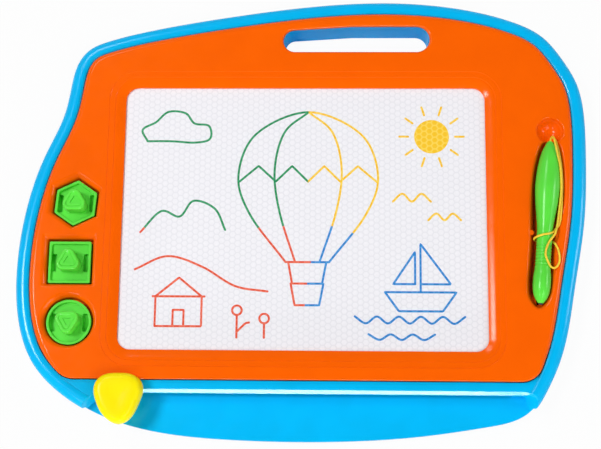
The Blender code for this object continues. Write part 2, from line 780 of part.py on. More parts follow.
def build_rear_shell(pieces, guides):
    """Blue tub with a rolled rim, a shelf, the handle tunnel, bosses and eraser rails."""
    edge = board_outline()
    rings = []
    for inwards, level in rounding(BASE_ROUND, BASE_ROUND_STEPS, BASE_ROUND)[::-1]:
        rings.append((inset(edge, WALL_SETBACK + inwards), BASE_ROUND - level))
    bead_low = BEAD_TOP_Z - BEAD_RADIUS
    wall_high = bead_low - math.sqrt(BEAD_RADIUS**2 - (BEAD_RADIUS - WALL_SETBACK)**2)
    rings.append((inset(edge, WALL_SETBACK), wall_high))
    rings.append((inset(edge, WALL_SETBACK / 4), (wall_high + bead_low) / 2))
    for inwards, level in rounding(BEAD_RADIUS, BEAD_STEPS, BEAD_TOP_Z):
        rings.append((inset(edge, inwards), level))
    shell = loft("rear_shell", rings, pieces)

    seat_inset = RIM_WIDTH - TOUCH_GAP
    seat_rings = [(inset(edge, seat_inset), RIM_LIP_Z)]
    for inwards, level in rounding(seat_inset - BEAD_RADIUS, BEAD_INNER_STEPS, BEAD_TOP_Z):
        seat_rings.append((inset(edge, seat_inset - inwards), level))
    seat_rings.append((inset(edge, BEAD_RADIUS), BEAD_TOP_Z + OVERRUN))
    seat = loft("bezel_seat", seat_rings, guides)
    flat_y = BEZEL_BOTTOM_Y + LEDGE_RISE_END
    low_y = flat_y + LEDGE_RISE_LENGTH
    slope_rings = []
    for end_y, level in ((low_y, 0), (low_y, RIM_LIP_Z), (flat_y, LEDGE_Z)):
        slope_rings.append(([(-BOARD_WIDTH, -BOARD_HEIGHT), (BOARD_WIDTH, -BOARD_HEIGHT),
                             (BOARD_WIDTH, end_y), (-BOARD_WIDTH, end_y)], level))
    boolean(seat, "DIFFERENCE", loft("ledge_slope", slope_rings, guides))
    boolean(shell, "DIFFERENCE", seat)
    low_seat = prism("low_seat", [bezel_outline(2 * TOUCH_GAP)], RIM_LIP_Z, BEAD_TOP_Z + 2 * OVERRUN, guides)
    above = block("low_seat_limit", (-BOARD_WIDTH, low_y + OVERRUN, 0),
                  (BOARD_WIDTH, BOARD_HEIGHT, FACE_Z + 2 * OVERRUN), guides)
    boolean(low_seat, "DIFFERENCE", above)
    boolean(shell, "DIFFERENCE", low_seat)

    inner = inset(edge, WALL_SETBACK + SHELL_WALL)
    hollow = prism("shell_hollow", [inner], FLOOR_THICKNESS, RIM_LIP_Z + OVERRUN / 2, guides)
    step_y = STEP_WALL_Y + SHELL_WALL
    under_shelf = block("shelf_limit", (-BOARD_WIDTH, -BOARD_HEIGHT, SHELF_Z - SHELL_WALL),
                        (BOARD_WIDTH, step_y, FACE_Z), guides)
    boolean(hollow, "DIFFERENCE", under_shelf)
    boolean(shell, "DIFFERENCE", hollow)
    ledge_left = SHELF_LEFT_MARGIN - BOARD_WIDTH / 2
    ledge_right = BOARD_WIDTH / 2 - SHELF_RIGHT_MARGIN - STEP_RIGHT_RADIUS
    ledge_hollow = block("ledge_hollow", (ledge_left, step_y + TOUCH_GAP, RIM_LIP_Z),
                         (ledge_right, BEZEL_BOTTOM_Y + OVERRUN, LEDGE_Z - SHELL_WALL), guides)
    boolean(shell, "DIFFERENCE", ledge_hollow)

    foot = shelf_outline()
    reach = STEP_CHAMFER + OVERRUN
    chamfer_z = LEDGE_Z - STEP_CHAMFER
    shelf_rings = [(foot, SHELF_Z), (foot, chamfer_z), (inset(foot, -reach), chamfer_z + reach)]
    shelf_space = loft("shelf_space", shelf_rings, guides)
    boolean(shell, "DIFFERENCE", shelf_space)

    low = FLOOR_THICKNESS - FLOOR_THICKNESS / 4
    inside = guide_collection("shell_inside", guides)
    for i, place in enumerate(screw_places(), start=1):
        cylinder(f"boss_{i}", place, BOSS_RADIUS, low, POST_Z - TOUCH_GAP, BOSS_SIDES, inside)
    tunnel = inset(handle_outline(), -TUNNEL_WALL)
    prism("tunnel", [tunnel], low, FACE_Z - BEZEL_PLATE - TOUCH_GAP, inside)
    rail_start = ERASER_X - SHOE_HALF_LENGTH - RAIL_OVERRUN
    rail_end = ERASER_X + ERASER_TRAVEL + SHOE_HALF_LENGTH + RAIL_OVERRUN
    rail_z = arm_low_z() + RAIL_RISE - TOUCH_GAP
    for name, y in (("rail_low", SHOE_Y), ("rail_high", RAIL_TOP_Y)):
        half = RAIL_THICKNESS / 2
        block(name, (rail_start, y - half, low), (rail_end, y + half, rail_z), inside)
    boolean(shell, "UNION", inside)

    holes = guide_collection("shell_holes", guides)
    prism("handle_hole", [handle_outline()], -OVERRUN, FACE_Z, holes)
    for i, place in enumerate(screw_places(), start=1):
        counterbore_rings = []
        for radius, level in ((COUNTERBORE_RADIUS, -OVERRUN), (COUNTERBORE_RADIUS, SCREW_SEAT_Z),
                              (SCREW_SHANK_HOLE, SCREW_SEAT_Z), (SCREW_SHANK_HOLE, POST_Z)):
            counterbore_rings.append((regular_polygon(place, radius, SCREW_SIDES, 0), level))
        loft(f"screw_hole_{i}", counterbore_rings, holes)
    slot_start = ERASER_X - ARM_HALF_WIDTH - ARM_SLOT_END_CLEARANCE
    slot_end = ERASER_X + ERASER_TRAVEL + ARM_HALF_WIDTH + ARM_SLOT_END_CLEARANCE
    block("arm_slot", (slot_start, STEP_WALL_Y - OVERRUN, SHELF_Z),
          (slot_end, step_y + OVERRUN, SHELF_Z + ARM_SLOT_HEIGHT), holes)
    boolean(shell, "DIFFERENCE", holes)
    return shell


def build_front_bezel(pieces, guides):
    """Orange cover with the window frame, wells, trough, dish, handle mouth and posts."""
    edge = bezel_outline()
    rings = [(edge, BEZEL_SKIRT_Z)]
    for inwards, level in rounding(BEZEL_EDGE_ROUND, BEZEL_EDGE_STEPS, FACE_Z):
        rings.append((inset(edge, inwards), level))
    bezel = loft("front_bezel", rings, pieces)

    plate_low = FACE_Z - BEZEL_PLATE
    hollow = prism("bezel_hollow", [inset(edge, BEZEL_WALL)], BEZEL_SKIRT_Z - OVERRUN, plate_low, guides)
    kept = guide_collection("bezel_kept", guides)
    for name in STAMP_PLACES:
        cup = moved(stamp_outline(name, WELL_CLEARANCE + MOUTH_ROUND + CUP_WALL), well_place(name))
        prism(f"cup_{name}", [cup], WELL_FLOOR_Z - CUP_WALL, FACE_Z, kept)
    prism("cup_trough", [trough_outline(CUP_WALL)], TROUGH_FLOOR_Z - CUP_WALL, FACE_Z, kept)
    dish_floor = FACE_Z - DISH_DEPTH - DISH_WALL
    dish_place = past_tail(DISH_PAST_TAIL)
    cylinder("cup_dish", dish_place, DISH_RADIUS, dish_floor, FACE_Z, DISH_SEGMENTS, kept)
    for i, place in enumerate(screw_places(), start=1):
        cylinder(f"post_{i}", place, POST_RADIUS, POST_Z, FACE_Z, SCREW_SIDES, kept)
    prism("flange", [window_outline(FRAME_OUTER_MARGIN)], flange_low_z(), FACE_Z, kept)
    rib_inner = SCREEN_MARGIN + TOUCH_GAP
    rib = [window_outline(rib_inner + POCKET_RIB_WALL), window_outline(rib_inner)]
    prism("pocket_rib", rib, screen_low_z(), flange_low_z() + TOUCH_GAP, kept)
    boolean(hollow, "DIFFERENCE", kept)
    boolean(bezel, "DIFFERENCE", hollow)

    top = FACE_Z + OVERRUN
    first_z = FACE_Z - FRAME_STEP
    second_z = first_z - FRAME_STEP
    lip_z = second_z - FRAME_SLOPE_FALL
    frame_rings = []
    for margin, level in ((0, BEZEL_SKIRT_Z), (0, lip_z), (FRAME_SLOPE_MARGIN, second_z),
                          (FRAME_MIDDLE_MARGIN - FRAME_DRAFT, second_z), (FRAME_MIDDLE_MARGIN, first_z),
                          (FRAME_OUTER_MARGIN - FRAME_DRAFT, first_z), (FRAME_OUTER_MARGIN, FACE_Z),
                          (FRAME_OUTER_MARGIN, top)):
        frame_rings.append((window_outline(margin), level))
    window = loft("window", frame_rings, guides)
    boolean(bezel, "DIFFERENCE", window)

    pockets = guide_collection("bezel_pockets", guides)
    for name in STAMP_PLACES:
        well(name, pockets)
    trough_rings = [(trough_outline(-TROUGH_DRAFT), TROUGH_FLOOR_Z)]
    trough_rings += flared_mouth(trough_outline, FACE_Z, top)
    loft("trough", trough_rings, pockets)
    dish(dish_place, pockets)
    hole = past_tail(CORD_HOLE_PAST_TAIL)
    cylinder("cord_hole", hole, CORD_HOLE_RADIUS, dish_floor - OVERRUN, FACE_Z, SCREW_SIDES, pockets)
    prism("handle_mouth", [handle_outline()], BEZEL_SKIRT_Z, top, pockets)
    for i, place in enumerate(screw_places(), start=1):
        pilot_top = SCREW_SEAT_Z + SCREW_LENGTH + TOUCH_GAP
        pilot = SCREW_SHANK_RADIUS + TOUCH_GAP
        cylinder(f"pilot_{i}", place, pilot, BEZEL_SKIRT_Z, pilot_top, SCREW_SIDES, pockets)
    boolean(bezel, "DIFFERENCE", pockets)

    nubs = guide_collection("bezel_nubs", guides)
    for name, shares in NUB_SHARES.items():
        place = beside_pen(*shares)
        cylinder(name, place, NUB_RADIUS, NUB_LOW_Z, FACE_Z - NUB_TOP_DROP, SCREW_SIDES, nubs)
    boolean(bezel, "UNION", nubs)
    return bezel


def well_place(name):
    """Centre of a stamp's well, in which the stamp has sunk towards the board's bottom edge."""
    x, y = stamp_place(name)
    return x, y + WELL_RISE_Y


def dish(place, pockets):
    """The finger dish, part of a ball with a rounded mouth."""
    width = DISH_RADIUS - MOUTH_ROUND
    ball = (width**2 + DISH_DEPTH**2) / (2 * DISH_DEPTH)
    rings = []
    for i in range(DISH_RINGS + 1):
        radius = width * (DISH_BOTTOM_SHARE + (1 - DISH_BOTTOM_SHARE) * i / DISH_RINGS)
        level = FACE_Z - DISH_DEPTH + ball - math.sqrt(ball**2 - radius**2)
        rings.append((regular_polygon(place, radius, DISH_SEGMENTS, 0), level))
    outer = FACE_Z + OVERRUN
    rings[-1] = (rings[-1][0], FACE_Z - MOUTH_ROUND / 2)
    rings.append((regular_polygon(place, DISH_RADIUS, DISH_SEGMENTS, 0), FACE_Z))
    rings.append((regular_polygon(place, DISH_RADIUS, DISH_SEGMENTS, 0), outer))
    loft("dish", rings, pockets)


def well(name, pockets):
    """The hollow that a stamp stands in."""
    def mouth(grow):
        return moved(stamp_outline(name, WELL_CLEARANCE + grow), well_place(name))

    rings = [(mouth(-WELL_DRAFT), WELL_FLOOR_Z)] + flared_mouth(mouth, FACE_Z, FACE_Z + OVERRUN)
    loft(f"well_{name}", rings, pockets)


def flange_low_z():
    """Underside of the window's flange, which the screen lies against."""
    return FACE_Z - 2 * FRAME_STEP - FRAME_SLOPE_FALL - FLANGE_THICKNESS


def build_screen(pieces):
    """Front sheet, cell core and back sheet, under the window's flange."""
    loop = window_outline(SCREEN_MARGIN)
    front_high = flange_low_z() - TOUCH_GAP
    front_low = front_high - SCREEN_SHEET
    core_high = front_low - TOUCH_GAP
    core_low = core_high - SCREEN_CORE
    back_high = core_low - TOUCH_GAP
    front = prism("screen_front_sheet", [loop], front_low, front_high, pieces)
    core = prism("screen_honeycomb", [loop], core_low, core_high, pieces)
    back = prism("screen_back_sheet", [loop], back_high - SCREEN_SHEET, back_high, pieces)
    return front, core, back


def screen_low_z():
    """Underside of the screen panel."""
    return flange_low_z() - 3 * TOUCH_GAP - 2 * SCREEN_SHEET - SCREEN_CORE


def arm_low_z():
    """Underside of the eraser's arm, just clear of the shelf."""
    return SHELF_Z + TOUCH_GAP


def build_eraser(pieces, guides, slider):
    """Knob outside, carriage through the slot, and the magnet strip under the screen."""
    low = arm_low_z()
    high = low + ARM_THICKNESS
    bar_end_y = RAIL_TOP_Y + BAR_END_MARGIN
    arm_end_y = KNOB_NECK_Y - NECK_HALF_DEPTH
    carriage = block("eraser_carriage", (-ARM_HALF_WIDTH, arm_end_y, low),
                     (ARM_HALF_WIDTH, SHOE_Y, high), pieces)
    added = guide_collection("carriage_added", guides)
    block("carriage_shoe", (-SHOE_HALF_LENGTH, SHOE_Y - SHOE_DEPTH / 2, low),
          (SHOE_HALF_LENGTH, SHOE_Y + SHOE_DEPTH / 2, high), added)
    magnet_high = screen_low_z() - TOUCH_GAP
    flange_high = magnet_high - TOUCH_GAP
    magnet_end = WINDOW_HEIGHT / 2 + TOUCH_GAP
    magnet_low_y = WINDOW_Y - magnet_end
    magnet_high_y = WINDOW_Y + magnet_end
    block("carriage_bar", (-BAR_HALF_WIDTH, SHOE_Y, low), (BAR_HALF_WIDTH, bar_end_y, high), added)
    for name, side in (("flange_left", -1), ("flange_right", 1)):
        outer = side * BAR_HALF_WIDTH
        inner = side * (BAR_HALF_WIDTH - BAR_FLANGE)
        block(name, (min(outer, inner), magnet_low_y, high - TOUCH_GAP),
              (max(outer, inner), magnet_high_y, flange_high), added)
    cylinder("carriage_pin", (0, KNOB_NECK_Y), PIN_RADIUS, low + TOUCH_GAP, high + PIN_RISE,
             SCREW_SIDES, added)
    boolean(carriage, "UNION", added)
    grooves = guide_collection("carriage_grooves", guides)
    half_groove = RAIL_THICKNESS / 2 + RAIL_SIDE_CLEARANCE
    for name, y in (("groove_low", SHOE_Y), ("groove_high", RAIL_TOP_Y)):
        reach = SHOE_HALF_LENGTH + OVERRUN
        block(name, (-reach, y - half_groove, low - OVERRUN),
              (reach, y + half_groove, low + RAIL_RISE), grooves)
    boolean(carriage, "DIFFERENCE", grooves)

    magnet_low = high + TOUCH_GAP
    magnet = block("eraser_magnet", (-MAGNET_HALF_WIDTH, magnet_low_y, magnet_low),
                   (MAGNET_HALF_WIDTH, magnet_high_y, magnet_high), pieces)

    knob_loop = closed_spline([(x * KNOB_WIDTH, y * KNOB_LENGTH + KNOB_Y) for x, y in KNOB_SHARES],
                              KNOB_POINTS_PER_SPAN)
    head_low = FACE_Z + KNOB_LIFT
    knob = prism("eraser_knob", [knob_loop], head_low, head_low + KNOB_THICKNESS, pieces)
    round_level_edges(knob, KNOB_THICKNESS / 2, KNOB_TOP_ROUND, KNOB_TOP_STEPS)
    round_level_edges(knob, -KNOB_THICKNESS / 2, KNOB_BASE_ROUND, KNOB_BASE_STEPS)
    neck_loop = rounded_rectangle((0, KNOB_NECK_Y), 2 * NECK_HALF_LENGTH, 2 * NECK_HALF_DEPTH,
                                  NECK_CORNER, STAMP_CORNER_STEPS)
    neck = prism("knob_neck", [neck_loop], high + TOUCH_GAP, head_low + KNOB_BASE_ROUND, guides)
    boolean(knob, "UNION", neck)
    socket = cylinder("knob_socket", (0, KNOB_NECK_Y), PIN_RADIUS + TOUCH_GAP, high - OVERRUN,
                      high + PIN_RISE + TOUCH_GAP, SCREW_SIDES, guides)
    boolean(knob, "DIFFERENCE", socket)

    for piece in [carriage, magnet, knob, neck, socket] + list(added.objects) + list(grooves.objects):
        piece.parent = slider
    return carriage, magnet, knob


def build_stamp(name, apex_down, pieces, guides, holder):
    """One stamp: a rimmed base with finger slots, a three-cornered grip and a magnet beneath."""
    low = WELL_FLOOR_Z + TOUCH_GAP
    floor_z = STAMP_RIM_Z - STAMP_RIM_DEPTH
    seat_high = low + STAMP_MAGNET_THICKNESS + TOUCH_GAP
    stamp_rings = [(stamp_outline(name), low), (stamp_outline(name), STAMP_RIM_Z - STAMP_RIM_ROUND),
                   (stamp_outline(name, -STAMP_RIM_ROUND), STAMP_RIM_Z)]
    stamp = loft(f"stamp_{name}", stamp_rings, pieces)
    inner = stamp_outline(name, -STAMP_RIM_WIDTH)
    basin = prism(f"basin_{name}", [inner], floor_z, STAMP_RIM_Z + OVERRUN, guides)
    boolean(stamp, "DIFFERENCE", basin)

    slots = []
    for side_name, side in (("left", -1), ("right", 1)):
        slot_x = side * (FINGER_SLOT_X + FINGER_SLOT_LENGTH / 2)
        slot_loop = rounded_rectangle((slot_x, 0), FINGER_SLOT_LENGTH, FINGER_SLOT_LENGTH,
                                      FINGER_SLOT_CORNER, STAMP_CORNER_STEPS)
        slot = prism(f"finger_slot_{name}_{side_name}", [slot_loop], seat_high + FINGER_SLOT_ROOF,
                     STAMP_RIM_Z, guides)
        limit_loop = stamp_outline(name, TOUCH_GAP - STAMP_RIM_WIDTH)
        limit = prism(f"slot_limit_{name}_{side_name}", [limit_loop], low, floor_z + TOUCH_GAP, guides)
        boolean(slot, "INTERSECT", limit)
        boolean(stamp, "DIFFERENCE", slot)
        slots += [slot, limit]

    turn = math.pi if apex_down else 0
    grip_radius = (GRIP_WIDTH - 2 * GRIP_CORNER) / math.sqrt(3) + 2 * GRIP_CORNER
    corners = regular_polygon((0, 0), grip_radius, 3, turn)
    grip_low = rounded_polygon(corners, [GRIP_CORNER] * 3, GRIP_CORNER_STEPS)
    grip_rings = [(grip_low, floor_z - FINGER_SLOT_ROOF)]
    for inwards, level in rounding(GRIP_EDGE_ROUND, GRIP_ROUND_STEPS, GRIP_TOP_Z):
        grip_rings.append((inset(grip_low, GRIP_DRAFT + inwards), level))
    grip = loft(f"grip_{name}", grip_rings, guides)
    boolean(stamp, "UNION", grip)
    above = GRIP_TOP_Z + OVERRUN
    border_loop = inset(grip_low, GRIP_BORDER)
    border = prism(f"border_{name}", [border_loop], GRIP_TOP_Z - GRIP_BORDER_DEPTH, above, guides)
    boolean(stamp, "DIFFERENCE", border)
    mark_loop = regular_polygon((0, 0), GRIP_MARK_SIDE / math.sqrt(3), 3, turn)
    mark = prism(f"mark_{name}", [mark_loop], GRIP_TOP_Z - GRIP_MARK_DEPTH, above, guides)
    boolean(stamp, "DIFFERENCE", mark)

    magnet_loop = stamp_outline(name, -STAMP_MAGNET_MARGIN)
    magnet = prism(f"stamp_{name}_magnet", [magnet_loop], low, low + STAMP_MAGNET_THICKNESS, pieces)
    seat_loop = stamp_outline(name, TOUCH_GAP - STAMP_MAGNET_MARGIN)
    seat = prism(f"magnet_seat_{name}", [seat_loop], low - OVERRUN, seat_high, guides)
    boolean(stamp, "DIFFERENCE", seat)
    for piece in [stamp, basin, grip, border, mark, magnet, seat] + slots:
        piece.parent = holder
    return stamp, magnet


def build_pen(pieces, guides, holder):
    """Turned barrel with a ringed grip, and the magnet nib at its end."""
    mesh = bpy.data.meshes.new("pen_barrel")
    shape = bmesh.new()
    profile = [(0.0, 0.0)] + pen_profile() + [(PEN_LENGTH, 0.0)]
    verts = [shape.verts.new((radius, 0, -along)) for along, radius in profile]
    for start, end in zip(verts, verts[1:]):
        shape.edges.new((start, end))
    shape.to_mesh(mesh)
    shape.free()
    pen = new_object("pen_barrel", mesh, pieces)
    turned = pen.modifiers.new("turned", "SCREW")
    turned.axis = "Z"
    turned.steps = PEN_STEPS
    turned.render_steps = PEN_STEPS
    turned.use_merge_vertices = True
    turned.merge_threshold = WELD_DISTANCE

    bore = cylinder("cord_bore", (0, 0), PEN_BORE_RADIUS, -PEN_BORE_DEPTH, OVERRUN, PEN_BORE_SIDES, guides)
    boolean(pen, "DIFFERENCE", bore)
    nib_low = -PEN_LENGTH - NIB_PROUD
    nib = cylinder("pen_nib", (0, 0), NIB_RADIUS, nib_low, nib_low + NIB_LENGTH, PEN_BORE_SIDES, pieces)
    socket = cylinder("nib_socket", (0, 0), NIB_RADIUS + TOUCH_GAP, nib_low,
                      nib_low + NIB_LENGTH + TOUCH_GAP, PEN_BORE_SIDES, guides)
    boolean(pen, "DIFFERENCE", socket)
    for piece in (pen, bore, nib, socket):
        piece.parent = holder
    return pen, nib


def route_points(route, count):
    """Points of the smooth open curve through the route, closer together where it bends."""
    knots = np.array(route)
    fine = []
    padded = np.vstack([2 * knots[0] - knots[1], knots, 2 * knots[-1] - knots[-2]])
    for i in range(1, len(padded) - 2):
        before, start, end, after = padded[i - 1:i + 3]
        for step in range(CORD_SPAN_STEPS):
            t = step / CORD_SPAN_STEPS
            fine.append(0.5 * (2 * start + (end - before) * t
                               + (2 * before - 5 * start + 4 * end - after) * t**2
                               + (3 * start - before - 3 * end + after) * t**3))
    fine.append(knots[-1])
    fine = np.array(fine)
    steps = np.diff(fine, axis=0)
    lengths = np.linalg.norm(steps, axis=1)
    turns = np.linalg.norm(np.diff(steps / lengths[:, None], axis=0), axis=1)
    weights = lengths + CORD_BEND_WEIGHT * np.concatenate([turns, turns[-1:]])
    measure = np.concatenate([[0], np.cumsum(weights)])
    places = np.linspace(0, measure[-1], count)
    columns = [np.interp(places, measure, fine[:, axis]) for axis in range(3)]
    return [tuple(point) for point in np.stack(columns, axis=1)]


def build_cord(pieces, holder):
    """The pen's cord as one tube, and the knot that holds it under the dish."""
    data = bpy.data.curves.new("pen_cord", "CURVE")
    data.dimensions = "3D"
    data.bevel_depth = CORD_RADIUS
    data.bevel_resolution = CORD_BEVEL_RESOLUTION
    data.use_fill_caps = True
    points = route_points([(*past_tail((x, y)), z) for x, y, z in CORD_ROUTE], CORD_POINTS)
    spline = data.splines.new("POLY")
    spline.points.add(len(points) - 1)
    for point, place in zip(spline.points, points):
        point.co = (*place, 1)
    curve = new_object("pen_cord", data, pieces)
    bpy.context.view_layer.update()
    cord = mesh_from_curve("pen_cord", curve, pieces, dissolve=False)
    cord.parent = holder
    cord.matrix_parent_inverse = holder.matrix_world.inverted()
    knot_high = CORD_ROUTE[0][2] - TOUCH_GAP
    place = past_tail(CORD_HOLE_PAST_TAIL)
    knot = cylinder("cord_knot", place, KNOT_RADIUS, knot_high - KNOT_LENGTH, knot_high, SCREW_SIDES, pieces)
    return cord, knot


def build_screw(number, place, pieces, guides):
    """A pan-head case screw, head down in its counterbore."""
    head_high = SCREW_SEAT_Z - TOUCH_GAP
    screw = cylinder(f"case_screw_{number}", place, SCREW_HEAD_RADIUS, head_high - SCREW_HEAD_HEIGHT,
                     head_high, SCREW_SIDES, pieces)
    shank = cylinder(f"shank_{number}", place, SCREW_SHANK_RADIUS, head_high - SCREW_HEAD_HEIGHT / 2,
                     SCREW_SEAT_Z + SCREW_LENGTH, SCREW_SIDES, guides)
    boolean(screw, "UNION", shank)
    return screw


def make_empty(name, place, collection):
    """An empty on a moving piece's axis."""
    empty = bpy.data.objects.new(name, None)
    collection.objects.link(empty)
    empty.location = place
    return empty


def main():
    """Builds the whole board."""
    clear_scene()
    pieces = make_collection("magnetic_drawing_board")
    guides = make_collection("cutters")
    made = {name: make_material(name, *finish) for name, finish in MATERIALS.items()}

    finish_piece(build_rear_shell(pieces, guides), made["shell_blue"])
    finish_piece(build_front_bezel(pieces, guides), made["bezel_orange"])
    front, core, back = build_screen(pieces)
    finish_piece(front, made["screen_white"])
    finish_piece(core, made["core_grey"])
    finish_piece(back, made["screen_white"])

    slider = make_empty("eraser_slide", (ERASER_X, 0, 0), pieces)
    carriage, magnet, knob = build_eraser(pieces, guides, slider)
    finish_piece(carriage, made["slider_yellow"])
    finish_piece(magnet, made["magnet_grey"])
    finish_piece(knob, made["slider_yellow"])

    for name in STAMP_PLACES:
        holder = make_empty(f"lift_{name}", (*stamp_place(name), 0), pieces)
        stamp, stamp_magnet = build_stamp(name, name == "round", pieces, guides, holder)
        finish_piece(stamp, made["toy_green"])
        finish_piece(stamp_magnet, made["magnet_grey"])

    pen_holder = make_empty("lift_pen", (0, 0, 0), pieces)
    pen_holder.matrix_world = pen_frame()
    bpy.context.view_layer.update()
    pen, nib = build_pen(pieces, guides, pen_holder)
    finish_piece(pen, made["toy_green"])
    finish_piece(nib, made["magnet_grey"])
    cord, knot = build_cord(pieces, pen_holder)
    finish_piece(cord, made["cord_yellow"])
    finish_piece(knot, made["cord_yellow"])

    for number, place in enumerate(screw_places(), start=1):
        finish_piece(build_screw(number, place, pieces, guides), made["screw_steel"])
    hide_guides(guides)
    switch_on_modifiers()


main()
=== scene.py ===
import json
from math import atan2, copysign, cos, pi, radians, sin, sqrt

import bmesh
import bpy
import numpy as np
from mathutils import Matrix, Vector

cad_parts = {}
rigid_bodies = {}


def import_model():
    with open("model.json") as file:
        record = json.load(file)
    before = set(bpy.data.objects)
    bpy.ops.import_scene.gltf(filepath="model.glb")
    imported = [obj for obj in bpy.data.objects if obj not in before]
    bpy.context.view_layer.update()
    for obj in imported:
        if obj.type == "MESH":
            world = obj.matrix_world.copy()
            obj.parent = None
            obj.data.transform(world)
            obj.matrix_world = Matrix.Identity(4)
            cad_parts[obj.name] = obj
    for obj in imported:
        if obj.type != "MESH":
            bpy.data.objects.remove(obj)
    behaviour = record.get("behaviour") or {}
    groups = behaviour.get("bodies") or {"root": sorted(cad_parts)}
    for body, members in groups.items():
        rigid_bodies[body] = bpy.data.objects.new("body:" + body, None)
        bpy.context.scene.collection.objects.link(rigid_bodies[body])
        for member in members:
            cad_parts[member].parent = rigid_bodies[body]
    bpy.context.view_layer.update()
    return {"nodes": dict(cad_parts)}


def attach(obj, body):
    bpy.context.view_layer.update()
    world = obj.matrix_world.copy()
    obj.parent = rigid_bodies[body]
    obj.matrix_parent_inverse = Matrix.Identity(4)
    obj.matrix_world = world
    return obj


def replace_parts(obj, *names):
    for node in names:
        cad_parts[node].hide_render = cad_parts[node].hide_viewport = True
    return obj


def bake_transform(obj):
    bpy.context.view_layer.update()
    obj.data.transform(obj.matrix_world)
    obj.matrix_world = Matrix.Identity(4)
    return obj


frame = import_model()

NODES = frame["nodes"]
SCENE = bpy.context.scene

# Camera of the photograph: its place in metres and its turns in radians
IMAGE_WIDTH = 601
FOCAL_PIXELS = 1354.1
SENSOR_WIDTH = 36.0
CAMERA_PLACE = (0.0318, -0.2270, 0.9955)
CAMERA_PITCH = 0.22078
CAMERA_YAW = 0.03115
CAMERA_ROLL = 0.01119

camera_data = bpy.data.cameras.new("camera")
camera_data.sensor_width = SENSOR_WIDTH
camera_data.lens = SENSOR_WIDTH * FOCAL_PIXELS / IMAGE_WIDTH
camera = bpy.data.objects.new("camera", camera_data)
SCENE.collection.objects.link(camera)
turn = Matrix.Rotation(CAMERA_ROLL, 4, "Z") @ Matrix.Rotation(CAMERA_YAW, 4, "Y")
camera.matrix_world = Matrix.Translation(CAMERA_PLACE) @ turn @ Matrix.Rotation(CAMERA_PITCH, 4, "X")
SCENE.camera = camera
SCENE.view_settings.view_transform = "Standard"


def over(scale, points):
    """The points' whole numbers divided by a scale."""
    return [tuple(value / scale for value in point) for point in points]


# The pen's cord: the same route as in the solids, in tenths of a millimetre
CORD_RADIUS = 0.0008
CORD_ROUTE = over(10000, [
    (1860, 599, 152), (1860, 599, 190), (1862, 591, 212), (1868, 573, 231), (1878, 546, 244),
    (1889, 497, 250), (1900, 431, 254), (1912, 310, 250), (1913, 180, 242), (1891, -53, 251),
    (1853, -125, 252), (1816, -158, 292), (1755, -172, 299), (1709, -183, 260), (1703, -190, 205),
    (1740, -196, 158), (1795, -198, 156), (1831, -206, 199), (1847, -228, 247), (1872, -285, 252),
    (1876, -360, 252), (1846, -407, 254), (1812, -406, 273), (1783, -365, 298), (1770, -305, 300),
    (1797, -229, 295), (1843, -165, 288), (1866, -89, 266), (1886, 32, 257), (1903, 180, 264),
    (1898, 340, 281), (1879, 440, 288), (1868, 500, 291), (1863, 530, 287), (1859, 556, 279),
    (1852, 572, 261), (1845, 574, 245), (1840, 561, 235), (1837, 537, 233), (1834, 500, 233),
])

# Outline of the whole board, as ten-thousandths of its width and height, counter-clockwise
BOARD_WIDTH = 0.4221
BOARD_HEIGHT = 0.3343
OUTLINE_SHARES = over(10000, [
    (3950, -4330), (4215, -3850), (4460, -3160), (4730, -1620), (4930, -150), (5000, 1400),
    (4985, 2380), (4880, 3050), (4640, 3620), (4280, 4180), (3740, 4540), (2830, 4840),
    (1480, 4990), (50, 4890), (-1400, 4640), (-2850, 4300), (-3560, 4060), (-3890, 3860),
    (-4080, 3550), (-4185, 3060), (-4290, 2330), (-4600, 1360), (-4895, 50), (-5000, -1300),
    (-4925, -2400), (-4640, -3340), (-4170, -3960), (-3540, -4440), (-2700, -4780),
    (-1200, -4990), (500, -5015), (2100, -4880), (3200, -4670),
])

# Levels above the underside
FACE_Z = 0.024
SHELF_Z = 0.008
BEAD_TOP_Z = 0.021
LEDGE_Z = 0.020

# Clearances that recur
TOUCH_GAP = 0.0003
OVERRUN = 0.002

# Rear shell
BEAD_RADIUS = 0.0052
BEAD_WIDTH = 0.0066
BEAD_INNER_FALL_SHARE = 0.42
WALL_SETBACK = 0.0015
SHELL_WALL = 0.0024
FLOOR_THICKNESS = 0.0024
BASE_ROUND = 0.0032
RIM_LIP_Z = 0.011

# Step down to the shelf, placed from the board's bottom, left and right edges
STEP_MARGIN = 0.03445
STEP_WALL_Y = STEP_MARGIN - BOARD_HEIGHT / 2
STEP_CHAMFER = 0.0024
STEP_LEFT_RADIUS = 0.004
STEP_RIGHT_RADIUS = 0.011
SHELF_LEFT_X = 0.0658 - BOARD_WIDTH / 2
SHELF_RIGHT_X = BOARD_WIDTH / 2 - 0.041
SHELF_LEFT_LEAN = 0.015
SHELF_LEFT_DROP = 0.0153
STEP_CORNER_STEPS = 14
STEP_TAPER_SHARES = (0.03, 0.97)
STEP_TAPER_DROP = 0.003
STEP_END_CHAMFER = 0.0005
STEP_END_SLOPE = 0.0055
STEP_SLOPE_DROP = 0.013
LEDGE_WIDTH = 0.0094
LEDGE_RISE_LENGTH = 0.022
LEDGE_RISE_END = 0.003

